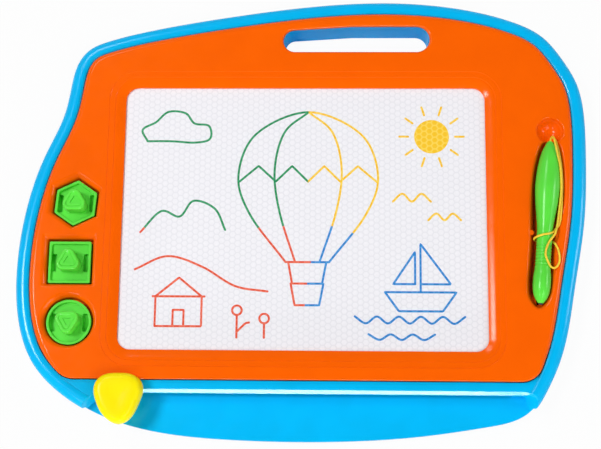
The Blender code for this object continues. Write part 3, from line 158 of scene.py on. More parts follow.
# Front bezel
RIM_WIDTH = 0.0106
BEZEL_BOTTOM_Y = STEP_WALL_Y + LEDGE_WIDTH
BEZEL_CORNER_RADIUS = 0.016
BEZEL_SKIRT_Z = 0.012
BEZEL_PLATE = 0.0024
BEZEL_WALL = 0.0022
BEZEL_EDGE_ROUND = 0.0044
BEZEL_LOW_ROUND = 0.0006
BEZEL_ROUND_RISE = 0.018
MOUTH_STEPS = 8
MOUTH_POWER = 1.2
WELL_MOUTH_ROUND = 0.0034
TROUGH_MOUTH_ROUND = 0.0026
HANDLE_MOUTH_ROUND = 0.0016

# Window, placed from the board's four edges, and the steps of its frame
WINDOW_LEFT_MARGIN = 0.07735
WINDOW_RIGHT_MARGIN = 0.07495
WINDOW_TOP_MARGIN = 0.07015
WINDOW_BOTTOM_MARGIN = 0.06515
WINDOW_X = (WINDOW_LEFT_MARGIN - WINDOW_RIGHT_MARGIN) / 2
WINDOW_Y = (WINDOW_BOTTOM_MARGIN - WINDOW_TOP_MARGIN) / 2
WINDOW_WIDTH = BOARD_WIDTH - WINDOW_LEFT_MARGIN - WINDOW_RIGHT_MARGIN
WINDOW_HEIGHT = BOARD_HEIGHT - WINDOW_BOTTOM_MARGIN - WINDOW_TOP_MARGIN
WINDOW_CORNER = 0.0095
FRAME_OUTER_MARGIN = 0.0124
FRAME_MIDDLE_MARGIN = 0.008
FRAME_SLOPE_MARGIN = 0.0046
FRAME_STEP = 0.0004
FRAME_SLOPE_FALL = 0.0022
FRAME_DRAFT = 0.0004
FLANGE_THICKNESS = 0.0012

# Handle slot: two end circles on one level lower edge, and a kink in the upper edge
SLOT_LEFT_X = -0.0066
SLOT_LEFT_RADIUS = 0.0088
SLOT_RIGHT_X = 0.0851
SLOT_RIGHT_RADIUS = 0.0102
SLOT_LOW_Y = BOARD_HEIGHT / 2 - 0.04195
SLOT_KINK_X = 0.0365
HANDLE_DRAFT = 0.001
TUNNEL_WALL = 0.0022

# Eraser slider, resting near the left edge and travelling to near the right edge
ERASER_LEFT_MARGIN = 0.08135
ERASER_RIGHT_MARGIN = 0.07075
ERASER_X = ERASER_LEFT_MARGIN - BOARD_WIDTH / 2
ERASER_TRAVEL = BOARD_WIDTH - ERASER_LEFT_MARGIN - ERASER_RIGHT_MARGIN
ARM_HALF_WIDTH = 0.008
ARM_THICKNESS = 0.003
ARM_SLOT_HEIGHT = 0.0038
ARM_SLOT_END_CLEARANCE = 0.0035
NECK_Y = STEP_WALL_Y - 0.0078
NECK_LENGTH = 0.014
NECK_DEPTH = 0.0112
NECK_CORNER = 0.003
PIN_RADIUS = 0.003
PIN_RISE = 0.014

# Slider knob: a rounded three-cornered pick, points as thousandths of its width and length
KNOB_WIDTH = 0.0358
KNOB_LENGTH = 0.0366
KNOB_Y = STEP_WALL_Y - 0.0055
KNOB_SHARES = over(1000, [
    (15, -497), (190, -440), (345, -250), (452, 0), (495, 160), (440, 350), (270, 470), (0, 500),
    (-270, 470), (-440, 350), (-498, 160), (-460, -20), (-345, -260), (-170, -430),
])
KNOB_LIFT = 0.0016
KNOB_THICKNESS = 0.011
KNOB_TOP_ROUND = 0.0075
KNOB_BASE_ROUND = 0.0016
KNOB_EDGE_POWER = 1.6
KNOB_DIP = 0.0004
KNOB_DIP_STEPS = 8

# Stamps and their wells: distance from the board's left edge, and height above its bottom
STAMP_MARGINS = {"hexagon": (0.03704, 0.17435), "square": (0.04002, 0.12935), "round": (0.03786, 0.08485)}
HEXAGON_TURN = radians(-4.5)
HEXAGON_RADIUS = 0.0174
SQUARE_SIDE = 0.0312
ROUND_RADIUS = 0.0166
STAMP_CORNER = 0.0012
STAMP_CORNER_STEPS = 5
ROUND_SIDES = 96
WELL_CLEARANCE = 0.0013
WELL_DRAFT = 0.0006
WELL_MOUTH_LEAN = 0.0009
WELL_RISE_Y = 0.0005
WELL_FLOOR_Z = 0.0138
CUP_WALL = 0.0016
STAMP_RIM_Z = 0.0214
STAMP_RIM_WIDTH = 0.002
STAMP_RIM_ROUND = 0.0004
STAMP_RIM_DEPTH = 0.0024
STAMP_MAGNET_THICKNESS = 0.0012
STAMP_MAGNET_MARGIN = 0.003
GRIP_WIDTH = 0.0176
GRIP_TOP_Z = 0.0304
GRIP_DRAFT = 0.0005
GRIP_EDGE_ROUND = 0.001
GRIP_CORNER = 0.0052
GRIP_BORDER = 0.0026
GRIP_BORDER_DEPTH = 0.0009
GRIP_BORDER_SLOPE = 0.0008
GRIP_MARK_SIDE = 0.006
GRIP_MARK_DEPTH = 0.0018
FINGER_SLOT_X = 0.0098
FINGER_SLOT_LENGTH = 0.0132
FINGER_SLOT_ROOF = 0.0002
FINGER_SLOT_CORNER = 0.0012

# Pen: its tail's distance from the board's right edge and height above its bottom, and its radius
# along its length from the tail, in thousandths
PEN_TAIL_MARGINS = (0.02745, 0.22165)
PEN_LEAN = radians(4.9)
PEN_LENGTH = 0.1216
PEN_RADIUS = 0.009
PEN_PROFILE_SHARES = over(1000, [
    (0, 200), (22, 370), (50, 540), (90, 710), (140, 850), (210, 960), (290, 1000), (370, 935),
    (450, 800), (530, 665), (590, 630), (635, 625), (785, 640), (830, 700), (880, 725), (920, 690),
    (950, 600), (975, 450), (990, 310), (1000, 200),
])
PEN_GRIP_START_SHARE = 0.640
PEN_GRIP_END_SHARE = 0.780
PEN_GRIP_RINGS = 7
PEN_GRIP_RING_STEPS = 12
PEN_GRIP_DEPTH = 0.0003
PEN_SIDES = 64
PEN_BORE_RADIUS = 0.0011
PEN_BORE_DEPTH = 0.005
PEN_BORE_SIDES = 24
NIB_RADIUS = 0.0014
NIB_LENGTH = 0.006
NIB_PROUD = 0.001

# Trough round the pen, as thousandths of the pen's length along it and of its radius beside it
TROUGH_SHARES = over(1000, [
    (3, 409), (-3, -326), (78, -884), (193, -1138), (327, -1200), (475, -1136), (639, -1024),
    (793, -1031), (917, -997), (997, -625), (1024, -97), (995, 396), (911, 763), (771, 881),
    (607, 876), (472, 1045), (378, 1308), (244, 1262), (102, 989),
])
TROUGH_DRAFT = 0.003
TROUGH_FLOOR_Z = 0.014
NUB_SHARES = over(1000, [(575, -1063), (577, 1047)])
NUB_RADIUS = 0.0018
NUB_LOW_Z = 0.018
NUB_TOP_DROP = 0.0006

# Finger dish and the hole for the cord, placed from the pen's tail
DISH_PAST_TAIL = (0.0001, 0.0084)
DISH_RADIUS = 0.0112
DISH_DEPTH = 0.0074
DISH_MOUTH_ROUND = 0.0018
DISH_SIDES = 72
DISH_RINGS = 16
DISH_BOTTOM_SHARE = 0.08
DISH_WALL = 0.0014
CORD_HOLE_PAST_TAIL = (0.0023, 0.0054)
CORD_HOLE_RADIUS = 0.0013

# Case screws: along the top at shares of the board's width and distances below its top edge, at
# the sides at distances inside its edge and above its bottom, and one beside the window
TOP_SCREWS = [(-0.3080, 0.04515), (-0.1066, 0.04015), (0.0948, 0.04915), (0.2961, 0.03415)]
SIDE_SCREWS = [(-1, 0.03184, 0.05915), (-1, 0.02571, 0.22515), (1, 0.02173, 0.06315)]
WINDOW_SCREW_MARGIN = 0.0239
WINDOW_SCREW_DROP = 0.012
BOSS_RADIUS = 0.0042
BOSS_SIDES = 24
POST_Z = 0.014
SCREW_SIDES = 32
SCREW_HEAD_RADIUS = 0.0031
SCREW_HEAD_HEIGHT = 0.0022
SCREW_HEAD_STEPS = 6
SCREW_FLAT_SHARE = 0.35
SCREW_CROWN_SHARE = 0.6
SCREW_SHANK_RADIUS = 0.0014
SCREW_LENGTH = 0.015
SCREW_SEAT_Z = 0.006
SHANK_HOLE_RADIUS = 0.0018
COUNTERBORE_RADIUS = 0.004
CROSS_ARM = 0.0017
CROSS_HALF_WIDTH = 0.00035
CROSS_DEPTH = 0.0011

# The cord's strands and the drawing's strokes
CORD_SPACING = 0.0004
CORD_SIDES = 18
CORD_LAY = 0.0042
CORD_LOBE = 0.045
SHEET_TOP_Z = 0.0195
STROKE_RADIUS = 0.0008
STROKE_HEIGHT = 0.00003
STROKE_SPACING = 0.0008
STROKE_SIDES = 8
STROKE_END_ANGLES = np.linspace(0.15, pi / 2, 5)
QUARTER_X = 0.003
QUARTER_Y = -0.010

# The screen's cells. In units of their size: the way square to a slanted wall, the repeat of the
# pattern and half of it, and a shift that keeps every place on the board above zero
CELL_SIZE = 0.00455
CELL_WALL_SHARE = 0.20
CELL_SLANT = (sqrt(3) / 2, 0.5, 0.0)
CELL_REPEAT = (sqrt(3), 1.0, 1.0)
CELL_HALF = (sqrt(3) / 2, 0.5, 0.5)
CELL_SHIFT = (200 * sqrt(3), 200.0, 200.0)
FILM_GLOSS = 0.2

# Edges that turn by more than this stay sharp in the shading
SHARP_DEGREES = 35
BEZEL_SHARP_DEGREES = 26

# Colours, as linear red, green and blue
ORANGE = (1.000, 0.125, 0.000)
SKY_BLUE = (0.000, 0.495, 0.930)
LEAF_GREEN = (0.110, 0.760, 0.055)
YELLOW = (1.000, 0.830, 0.004)
CORD_YELLOW = (1.000, 0.640, 0.030)
WHITE = (0.915, 0.905, 0.945)
WHITE_CELL = (0.800, 0.795, 0.840)
CORE_GREY = (0.700, 0.700, 0.720)
CORE_CELL = (0.450, 0.450, 0.470)
MAGNET_GREY = (0.045, 0.045, 0.050)
STEEL = (0.550, 0.560, 0.580)
FLOOR_WHITE = (0.740, 0.740, 0.740)

# Inks of the drawing: colours of the line and of the cell walls in it, and the material slot
INKS = {
    "green": ((0.010, 0.260, 0.090), (0.060, 0.400, 0.180), "toy_green"),
    "yellow": ((0.950, 0.560, 0.015), (1.000, 0.720, 0.120), "slider_yellow"),
    "red": ((0.780, 0.080, 0.030), (0.900, 0.200, 0.120), "bezel_orange"),
    "blue": ((0.010, 0.210, 0.620), (0.080, 0.360, 0.760), "shell_blue"),
}

# Floor and light: the world is brighter low down than overhead, between two shares of the way up;
# each lamp has its place, target, size and power
FLOOR_REACH = 6.0
FLOOR_GLOW = 0.95
WORLD_LOW = 0.30
WORLD_HIGH = 0.08
WORLD_LOW_END = 0.35
WORLD_HIGH_START = 0.85
LAMPS = {
    "key": ((-1.30, 0.20, 2.25), (0, 0, 0), (0.55, 0.55), 27),
    "top_left": ((-1.00, 1.40, 2.10), (0, 0, 0), (0.70, 0.70), 13),
    "low_left": ((-1.15, -1.35, 2.10), (0, 0, 0), (0.60, 0.60), 9),
    "low_right": ((1.25, -1.35, 2.10), (0, 0, 0), (1.20, 1.20), 19),
    "front_strip": ((-0.02, -1.40, 0.14), (0, -0.1, 0.02), (0.66, 0.13), 9),
    "right_box": ((1.60, 0.15, 0.78), (0.1, 0, 0), (0.40, 0.60), 5),
}


# Materials, each with its own mottling and relief

def add_node(tree, kind, inputs=(), **settings):
    """Adds a shader node, its inputs given as values or as the sockets that feed them."""
    made = tree.nodes.new(kind)
    for setting, value in settings.items():
        setattr(made, setting, value)
    for socket, value in dict(inputs).items():
        if isinstance(value, bpy.types.NodeSocket):
            tree.links.new(value, made.inputs[socket])
        else:
            made.inputs[socket].default_value = value
    return made


class Shader:
    """A Principled material whose node sockets are wired by short calls."""

    def __init__(self, name, colour, roughness, metallic=0.0, **sockets):
        self.material = bpy.data.materials.new(name)
        self.material.use_nodes = True
        self.tree = self.material.node_tree
        self.out = self.tree.nodes["Principled BSDF"]
        values = {"Base Color": (*colour, 1.0), "Roughness": roughness, "Metallic": metallic}
        for socket, value in {**values, **sockets}.items():
            self.out.inputs[socket.replace("_", " ")].default_value = value
        self.colour = colour
        self.place = self.node("ShaderNodeTexCoord").outputs["Object"]

    def node(self, kind, inputs=(), **settings):
        return add_node(self.tree, kind, inputs, **settings)

    def noise(self, scale, detail=2.0, place=None):
        inputs = {"Vector": place or self.place, "Scale": scale, "Detail": detail}
        return self.node("ShaderNodeTexNoise", inputs).outputs["Fac"]

    def span(self, value, to_low, to_high, low=0.3, high=0.7):
        """Maps a value, or the usual reach of a noise, to another range."""
        inputs = {"Value": value, "From Min": low, "From Max": high, "To Min": to_low, "To Max": to_high}
        return self.node("ShaderNodeMapRange", inputs).outputs["Result"]

    def math(self, kind, first, second):
        return self.node("ShaderNodeMath", {0: first, 1: second}, operation=kind).outputs[0]

    def vector(self, kind, first, second=(0.0, 0.0, 0.0)):
        node = self.node("ShaderNodeVectorMath", {0: first, 1: second}, operation=kind)
        return node.outputs["Value" if kind == "DOT_PRODUCT" else "Vector"]

    def wire(self, socket, value):
        self.tree.links.new(value, self.out.inputs[socket])

    def paint(self, share, first, second):
        """Mixes two colours into the base colour."""
        inputs = {0: share, 6: (*first, 1.0), 7: (*second, 1.0)}
        self.wire("Base Color", self.node("ShaderNodeMix", inputs, data_type="RGBA").outputs[2])

    def mottle(self, scale, amount):
        """Lets the colour wander a little lighter and darker."""
        low = [channel * (1 - amount) for channel in self.colour]
        high = [min(1.0, channel * (1 + amount)) for channel in self.colour]
        self.paint(self.span(self.noise(scale), 0.0, 1.0), low, high)

    def relief(self, height, distance):
        node = self.node("ShaderNodeBump", {"Height": height, "Distance": distance, "Strength": 1.0})
        self.wire("Normal", node.outputs["Normal"])


def plastic(name, colour, roughness, gloss, mottling=0.03):
    """Glossy moulded plastic: faint flow mottling, uneven gloss and a fine orange-peel skin."""
    shader = Shader(name, colour, roughness, Specular_IOR_Level=gloss)
    shader.mottle(45.0, mottling)
    shader.wire("Roughness", shader.span(shader.noise(160.0, 4.0), roughness - 0.02, roughness + 0.03))
    shader.relief(shader.noise(900.0, 1.0), 0.000006)
    return shader.material


def grainy(name, colour, roughness, spots, mottling, grain, detail):
    """Dull stuff with spots and a grain, such as pressed magnet stock or cord."""
    shader = Shader(name, colour, roughness)
    shader.mottle(spots, mottling)
    shader.relief(shader.noise(grain, detail), 0.00002)
    return shader.material


def brushed(name, colour):
    """Steel with short turning marks."""
    shader = Shader(name, colour, 0.33, metallic=1.0)
    shader.mottle(400.0, 0.08)
    marks = shader.noise(900.0, 3.0, shader.vector("MULTIPLY", shader.place, (1.0, 6.0, 1.0)))
    shader.wire("Roughness", shader.span(marks, 0.26, 0.42))
    shader.relief(marks, 0.000008)
    return shader.material


def cells(name, colour, wall_colour, roughness=0.36, powder_share=0.35):
    """Film over six-sided cells: the walls show as a fine net, and the powder mottles each cell."""
    shader = Shader(name, colour, roughness, Specular_IOR_Level=FILM_GLOSS)
    place = shader.vector("ADD", shader.vector("MULTIPLY", shader.place, (1 / CELL_SIZE,) * 3), CELL_SHIFT)
    shifted = shader.vector("SUBTRACT", place, CELL_HALF)
    first, second = [
        shader.vector("MULTIPLY",
                      shader.vector("SUBTRACT", shader.vector("MODULO", start, CELL_REPEAT), CELL_HALF),
                      (1.0, 1.0, 0.0)) for start in (place, shifted)]
    nearer = shader.math("LESS_THAN", shader.vector("DOT_PRODUCT", first, first),
                         shader.vector("DOT_PRODUCT", second, second))
    chosen = shader.node("ShaderNodeMix", {0: nearer, 4: second, 5: first}, data_type="VECTOR")
    inside = shader.vector("ABSOLUTE", chosen.outputs[1])
    reach = shader.math("MAXIMUM", shader.vector("DOT_PRODUCT", inside, CELL_SLANT),
                        shader.vector("DOT_PRODUCT", inside, (0.0, 1.0, 0.0)))
    wall = shader.span(reach, 0.0, 1.0, 0.5 - CELL_WALL_SHARE, 0.5)
    powder = shader.span(shader.noise(500.0), 0.0, powder_share)
    shader.paint(shader.math("MAXIMUM", wall, powder), colour, wall_colour)
    shader.wire("Roughness", shader.span(shader.noise(90.0, 3.0), roughness - 0.05, roughness + 0.05))
    shader.relief(wall, -0.00001)
    return shader.material


# Lines, strands and solids

def smooth_route(route, per_span):
    """The smooth open curve through the route's points."""
    knots = np.array(route)
    padded = np.vstack([2 * knots[0] - knots[1], knots, 2 * knots[-1] - knots[-2]])
    points = []
    for i in range(1, len(padded) - 2):
        before, start, end, after = padded[i - 1:i + 3]
        for step in range(per_span):
            t = step / per_span
            points.append(0.5 * (2 * start + (end - before) * t
                                 + (2 * before - 5 * start + 4 * end - after) * t**2
                                 + (3 * start - before - 3 * end + after) * t**3))
    points.append(knots[-1])
    return np.array(points)


def stations(line, spacing):
    """Points at even distances on a line, and its direction at each."""
    line = np.array(line)
    lengths = np.concatenate([[0], np.cumsum(np.linalg.norm(np.diff(line, axis=0), axis=1))])
    places = np.linspace(0, lengths[-1], max(2, int(lengths[-1] / spacing)) + 1)
    points = np.stack([np.interp(places, lengths, column) for column in line.T], axis=1)
    ways = np.gradient(points, axis=0)
    return points, ways / np.linalg.norm(ways, axis=1)[:, None]


def skin(shape, rings):
    """Adds the faces of a solid that runs through rings of corners."""
    shape.faces.new(rings[0][::-1])
    shape.faces.new(rings[-1])
    for below, above in zip(rings, rings[1:]):
        for i, corner in enumerate(below):
            shape.faces.new((below[i - 1], corner, above[i], above[i - 1]))


def finished(shape, name):
    """The mesh of a shape, with its faces outwards."""
    bmesh.ops.recalc_face_normals(shape, faces=shape.faces)
    mesh = bpy.data.meshes.new(name)
    shape.to_mesh(mesh)
    shape.free()
    return mesh


def linked(name, mesh, collection=SCENE.collection):
    """Links a mesh or a lamp into a collection as an object."""
    piece = bpy.data.objects.new(name, mesh)
    collection.objects.link(piece)
    return piece


def twisted_cord(name, points, ways):
    """A cord of three strands: a lobed section that turns along the curve."""
    shape = bmesh.new()
    side = Vector(ways[0]).orthogonal().normalized()
    rings = []
    for i, (point, way) in enumerate(zip(points, ways)):
        way = Vector(way)
        side = (side - way * side.dot(way)).normalized()
        up = way.cross(side)
        twist = 2 * pi * i * CORD_SPACING / CORD_LAY
        ring = []
        for j in range(CORD_SIDES):
            angle = 2 * pi * j / CORD_SIDES
            radius = CORD_RADIUS * (1 - CORD_LOBE + CORD_LOBE * cos(3 * angle + twist))
            ring.append(shape.verts.new(Vector(point) + (side * cos(angle) + up * sin(angle)) * radius))
        rings.append(ring)
    skin(shape, rings)
    mesh = finished(shape, name)
    mesh.shade_smooth()
    return linked(name, mesh)


fibre = grainy("cord_fibre", CORD_YELLOW, 0.55, spots=600.0, mottling=0.12, grain=6000.0, detail=2.0)
cord_points, cord_ways = stations(smooth_route(CORD_ROUTE, per_span=24), CORD_SPACING)
cord = twisted_cord("pen_cord_fine", cord_points, cord_ways)
cord.data.materials.append(fibre)
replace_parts(cord, "pen_cord")
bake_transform(cord)

WORK = bpy.data.collections.new("work")
SCENE.collection.children.link(WORK)


def loft(rings):
    """A solid through outlines with as many points, each on one level or with a level for every point."""
    shape = bmesh.new()
    layers = []
    for loop, level in rings:
        levels = level if isinstance(level, list) else [level] * len(loop)
        layers.append([shape.verts.new((x, y, z)) for (x, y), z in zip(loop, levels)])
    skin(shape, layers)
    return linked("solid", finished(shape, "solid"), WORK)


def prism(loop, low, high):
    """An outline raised from one level to another."""
    return loft([(loop, low), (loop, high)])


def turned(place, sides, profile):
    """An upright turned solid at a place, through pairs of radius and level."""
    return loft([(regular_polygon(place, radius, sides), level) for radius, level in profile])


def cylinder(place, radius, low, high, sides):
    """An upright cylinder at a place on the board."""
    return turned(place, sides, [(radius, low), (radius, high)])


def block(low_corner, high_corner):
    """A box between two corners."""
    (left, near, low), (right, far, high) = low_corner, high_corner
    return prism([(left, near), (right, near), (right, far), (left, far)], low, high)


def boolean(piece, operation, solids):
    """Adds a Boolean with one solid or a list of them, switched off until all shapes are there."""
    modifier = piece.modifiers.new(operation.lower(), "BOOLEAN")
    modifier.show_viewport = False
    modifier.operation = operation
    modifier.solver = "EXACT"
    if isinstance(solids, list):
        modifier.operand_type = "COLLECTION"
        modifier.collection = bpy.data.collections.new("group")
        for solid in solids:
            modifier.collection.objects.link(solid)
    else:
        modifier.object = solids


def cut(piece, solids):
    boolean(piece, "DIFFERENCE", solids)


def join(piece, solids):
    boolean(piece, "UNION", solids)


# Helpers for loops of points, like those of the solids

def closed_spline(points, per_span):
    """Points of the smooth closed curve through the given points."""
    knots = np.array(points)
    after = np.roll(knots, -1, axis=0)
    spans = np.linalg.norm(after - knots, axis=1)
    before_spans = np.roll(spans, 1)
    slopes = (after - knots) / spans[:, None]
    matrix = np.diag(2 * (spans + before_spans))
    matrix += np.roll(np.diag(spans), -1, axis=1) + np.roll(np.diag(before_spans), 1, axis=1)
    right = 3 * (spans[:, None] * np.roll(slopes, 1, axis=0) + before_spans[:, None] * slopes)
    tangents = np.linalg.solve(matrix, right)
    loop = []
    for i, span in enumerate(spans):
        j = (i + 1) % len(knots)
        for step in range(per_span):
            t = step / per_span
            start = (2 * t**3 - 3 * t**2 + 1) * knots[i] + (t**3 - 2 * t**2 + t) * span * tangents[i]
            end = (3 * t**2 - 2 * t**3) * knots[j] + (t**3 - t**2) * span * tangents[j]
            loop.append(tuple(start + end))
    return loop


def inset(loop, distance, turn_limit=0.5):
    """The counter-clockwise loop moved inwards, by one distance or one for each point; minus is outwards."""
    distances = distance if isinstance(distance, list) else [distance] * len(loop)
    result = []
    for i, point in enumerate(loop):
        before = (Vector(point) - Vector(loop[i - 1])).normalized()
        after = (Vector(loop[(i + 1) % len(loop)]) - Vector(point)).normalized()
        along = (before + after).normalized()
        reach = distances[i] * (1 / max(along.dot(before), turn_limit))
        result.append((point[0] - along.y * reach, point[1] + along.x * reach))
    return result


def arc(centre, radius, start, end, steps):
    """Points on an arc, with the angles in radians."""
    angles = [start + (end - start) * i / steps for i in range(steps + 1)]
    return [(centre[0] + radius * cos(angle), centre[1] + radius * sin(angle)) for angle in angles]


def regular_polygon(centre, radius, sides, turn=0.0):
    """Corners of a regular polygon whose first corner points along +Y before the turn."""
    angles = [pi / 2 + turn + 2 * pi * i / sides for i in range(sides)]
    return [(centre[0] + radius * cos(angle), centre[1] + radius * sin(angle)) for angle in angles]


def rounded_polygon(corners, radii, steps):
    """Counter-clockwise polygon with each corner turned into an arc of its own radius."""
    loop = []
    for i, (corner, radius) in enumerate(zip(corners, radii)):
        here = Vector(corner)
        back = (Vector(corners[i - 1]) - here).normalized()
        ahead = (Vector(corners[(i + 1) % len(corners)]) - here).normalized()
        half = back.angle(ahead) / 2
        centre = here + (back + ahead).normalized() * radius / sin(half)
        sweep = pi - 2 * half
        start = atan2(here.y - centre.y, here.x - centre.x) - sweep / 2
        loop += arc(centre, radius, start, start + sweep, steps)
    return loop


def rounded_rectangle(centre, width, height, radius, steps):
    """Rectangle with rounded corners round a centre."""
    corners = [(centre[0] + across * width / 2, centre[1] + up * height / 2)
               for across, up in ((1, -1), (1, 1), (-1, 1), (-1, -1))]
    return rounded_polygon(corners, [radius] * len(corners), steps)


def straight_bottom(loop, level, radius, steps):
    """The loop cut off along a level line, with a rounded corner at each end of the line."""
    inner = inset(loop, radius)
    high = level + radius
    count = len(loop)
    kept = [point[1] >= high for point in inner]
    first = next(i for i in range(count) if kept[i] and not kept[i - 1])
    last = next(i for i in range(count) if kept[i] and not kept[(i + 1) % count])

    def corner(inside, outside):
        share = (high - inner[outside][1]) / (inner[inside][1] - inner[outside][1])
        centre = Vector(inner[outside]).lerp(Vector(inner[inside]), share)
        edge = Vector(loop[outside]).lerp(Vector(loop[inside]), share)
        return centre, atan2(edge.y - centre.y, edge.x - centre.x)

    down = -pi / 2
    first_centre, first_angle = corner(first, first - 1)
    last_centre, last_angle = corner(last, (last + 1) % count)
    if last_angle > 0:
        last_angle -= 2 * pi
    between = [loop[(first + i) % count] for i in range((last - first) % count + 1)]
    return (arc(first_centre, radius, down, first_angle, steps) + between
            + arc(last_centre, radius, last_angle, down, steps))


def rounding(loop_at, radius, high, steps, power=1.0):
    """Rings that rise from a wall to a level top, loop_at giving the outline for an inset; more power
    is nearer a bevel."""
    rings = []
    for i in range(steps + 1):
        across, up = cos(pi / 2 * i / steps), sin(pi / 2 * i / steps)
        rings.append((loop_at(radius * (1 - max(across, 0.0)**power)), high - radius * (1 - up**power)))
    return rings


def flared_mouth(loop_at, high, radius):
    """Rings of a hollow whose mouth is rounded outwards, loop_at giving its outline for a growth."""
    return rounding(loop_at, radius, high, MOUTH_STEPS, MOUTH_POWER) + [(loop_at(radius), high + OVERRUN)]


def moved(loop, centre):
    """The loop moved to a centre."""
    return [(x + centre[0], y + centre[1]) for x, y in loop]


# Places and outlines on the board

EDGE = closed_spline([(x * BOARD_WIDTH, y * BOARD_HEIGHT) for x, y in OUTLINE_SHARES], per_span=10)


def bezel_outline(grow=0.0):
    """The edge of the bezel, or the same grown outwards."""
    return straight_bottom(inset(EDGE, RIM_WIDTH - grow), BEZEL_BOTTOM_Y - grow,
                           BEZEL_CORNER_RADIUS + grow, steps=14)


def beside_edge(side, margin, height):
    """A place inside the board's left (-1) or right (1) edge, at a height above its bottom."""
    y = height - BOARD_HEIGHT / 2
    reach = 0
    for before, after in zip(EDGE[-1:] + EDGE, EDGE):
        if min(before[1], after[1]) <= y < max(before[1], after[1]):
            share = (y - before[1]) / (after[1] - before[1])
            reach = max(reach, side * (before[0] + share * (after[0] - before[0])))
    return side * (reach - margin), y


STAMPS = {name: beside_edge(-1, *margins) for name, margins in STAMP_MARGINS.items()}
WELLS = {name: (x, y + WELL_RISE_Y) for name, (x, y) in STAMPS.items()}
SCREWS = [(x * BOARD_WIDTH, BOARD_HEIGHT / 2 - drop) for x, drop in TOP_SCREWS]
SCREWS += [beside_edge(*margins) for margins in SIDE_SCREWS]
SCREWS.append((WINDOW_X + WINDOW_WIDTH / 2 + WINDOW_SCREW_MARGIN,
               WINDOW_Y + WINDOW_HEIGHT / 2 - WINDOW_SCREW_DROP))
PEN_TAIL = beside_edge(1, *PEN_TAIL_MARGINS)


def past_tail(offset):
    """A place on the board given from the pen's tail."""
    return PEN_TAIL[0] + offset[0], PEN_TAIL[1] + offset[1]


def beside_pen(along, across):
    """A place on the board, by shares of the pen's length along it and its radius beside it."""
    forth, aside = along * PEN_LENGTH, across * PEN_RADIUS
    return past_tail((aside * cos(PEN_LEAN) - forth * sin(PEN_LEAN),
                      -forth * cos(PEN_LEAN) - aside * sin(PEN_LEAN)))


def window_outline(margin=0.0):
    """The window, or the same with a margin all round."""
    return rounded_rectangle((WINDOW_X, WINDOW_Y), WINDOW_WIDTH + 2 * margin, WINDOW_HEIGHT + 2 * margin,
                             WINDOW_CORNER + margin, steps=14)


def handle_outline(grow=0.0):
    """The handle slot, counter-clockwise from its lower right, or the same grown outwards."""
    right = arc((SLOT_RIGHT_X, SLOT_LOW_Y + SLOT_RIGHT_RADIUS), SLOT_RIGHT_RADIUS, -pi / 2, pi / 2, steps=24)
    left = arc((SLOT_LEFT_X, SLOT_LOW_Y + SLOT_LEFT_RADIUS), SLOT_LEFT_RADIUS, pi / 2, 3 * pi / 2, steps=24)
    return inset(right + [(SLOT_KINK_X, SLOT_LOW_Y + 2 * SLOT_RIGHT_RADIUS)] + left, -grow)


def trough_outline(grow=0.0):
    """The trough's mouth, or the same grown outwards."""
    return inset(closed_spline([beside_pen(*shares) for shares in TROUGH_SHARES], per_span=8), -grow)


def stamp_outline(name, grow=0.0):
    """Outline of a stamp round its own centre, or the same grown outwards."""
    if name == "hexagon":
        corners = regular_polygon((0, 0), HEXAGON_RADIUS + grow / cos(pi / 6), 6, HEXAGON_TURN)
        return rounded_polygon(corners, [STAMP_CORNER] * 6, STAMP_CORNER_STEPS)
    if name == "square":
        side = SQUARE_SIDE + 2 * grow
        return rounded_rectangle((0, 0), side, side, STAMP_CORNER, STAMP_CORNER_STEPS)
    return regular_polygon((0, 0), ROUND_RADIUS + grow, ROUND_SIDES)


def shelf_outline():
    """The foot of the step round the lower shelf, open past the board's edge."""
    low_x = SHELF_LEFT_X - SHELF_LEFT_LEAN
    corners = [(SHELF_RIGHT_X, -BOARD_HEIGHT), (SHELF_RIGHT_X, STEP_WALL_Y), (SHELF_LEFT_X, STEP_WALL_Y),
               (low_x, STEP_WALL_Y - SHELF_LEFT_DROP), (low_x, -BOARD_HEIGHT)]
    radii = [STEP_LEFT_RADIUS, STEP_RIGHT_RADIUS] + [STEP_LEFT_RADIUS] * 3
    loop = rounded_polygon(corners, radii, STEP_CORNER_STEPS)
    arc_end = 2 * (STEP_CORNER_STEPS + 1)
    (start, y), (end, _) = loop[arc_end - 1], loop[arc_end]
    added = [(start + (end - start) * share, y) for share in STEP_TAPER_SHARES]
    return loop[:arc_end] + added + loop[arc_end:]


def shelf_space():
    """What the step leaves free: its chamfer runs out and its wall slopes at both ends of the step."""
    foot = shelf_outline()
    base, fold, levels = [], [], []
    for (x, y), high_point in zip(foot, inset(foot, -STEP_CHAMFER)):
        down = max(0.0, STEP_WALL_Y - y)
        depth = STEP_CHAMFER + (STEP_END_CHAMFER - STEP_CHAMFER) * min(1.0, down / STEP_TAPER_DROP)**0.5
        fold.append(tuple(Vector((x, y)).lerp(Vector(high_point), 1 - depth / STEP_CHAMFER)))
        levels.append(LEDGE_Z - depth)
        slope = STEP_END_SLOPE * sin(pi * min(1.0, down / STEP_SLOPE_DROP))
        base.append((x - copysign(slope, x), y))
    return loft([(base, SHELF_Z), (fold, levels), (inset(foot, -STEP_CHAMFER - OVERRUN), LEDGE_Z + OVERRUN)])


# The fine pieces

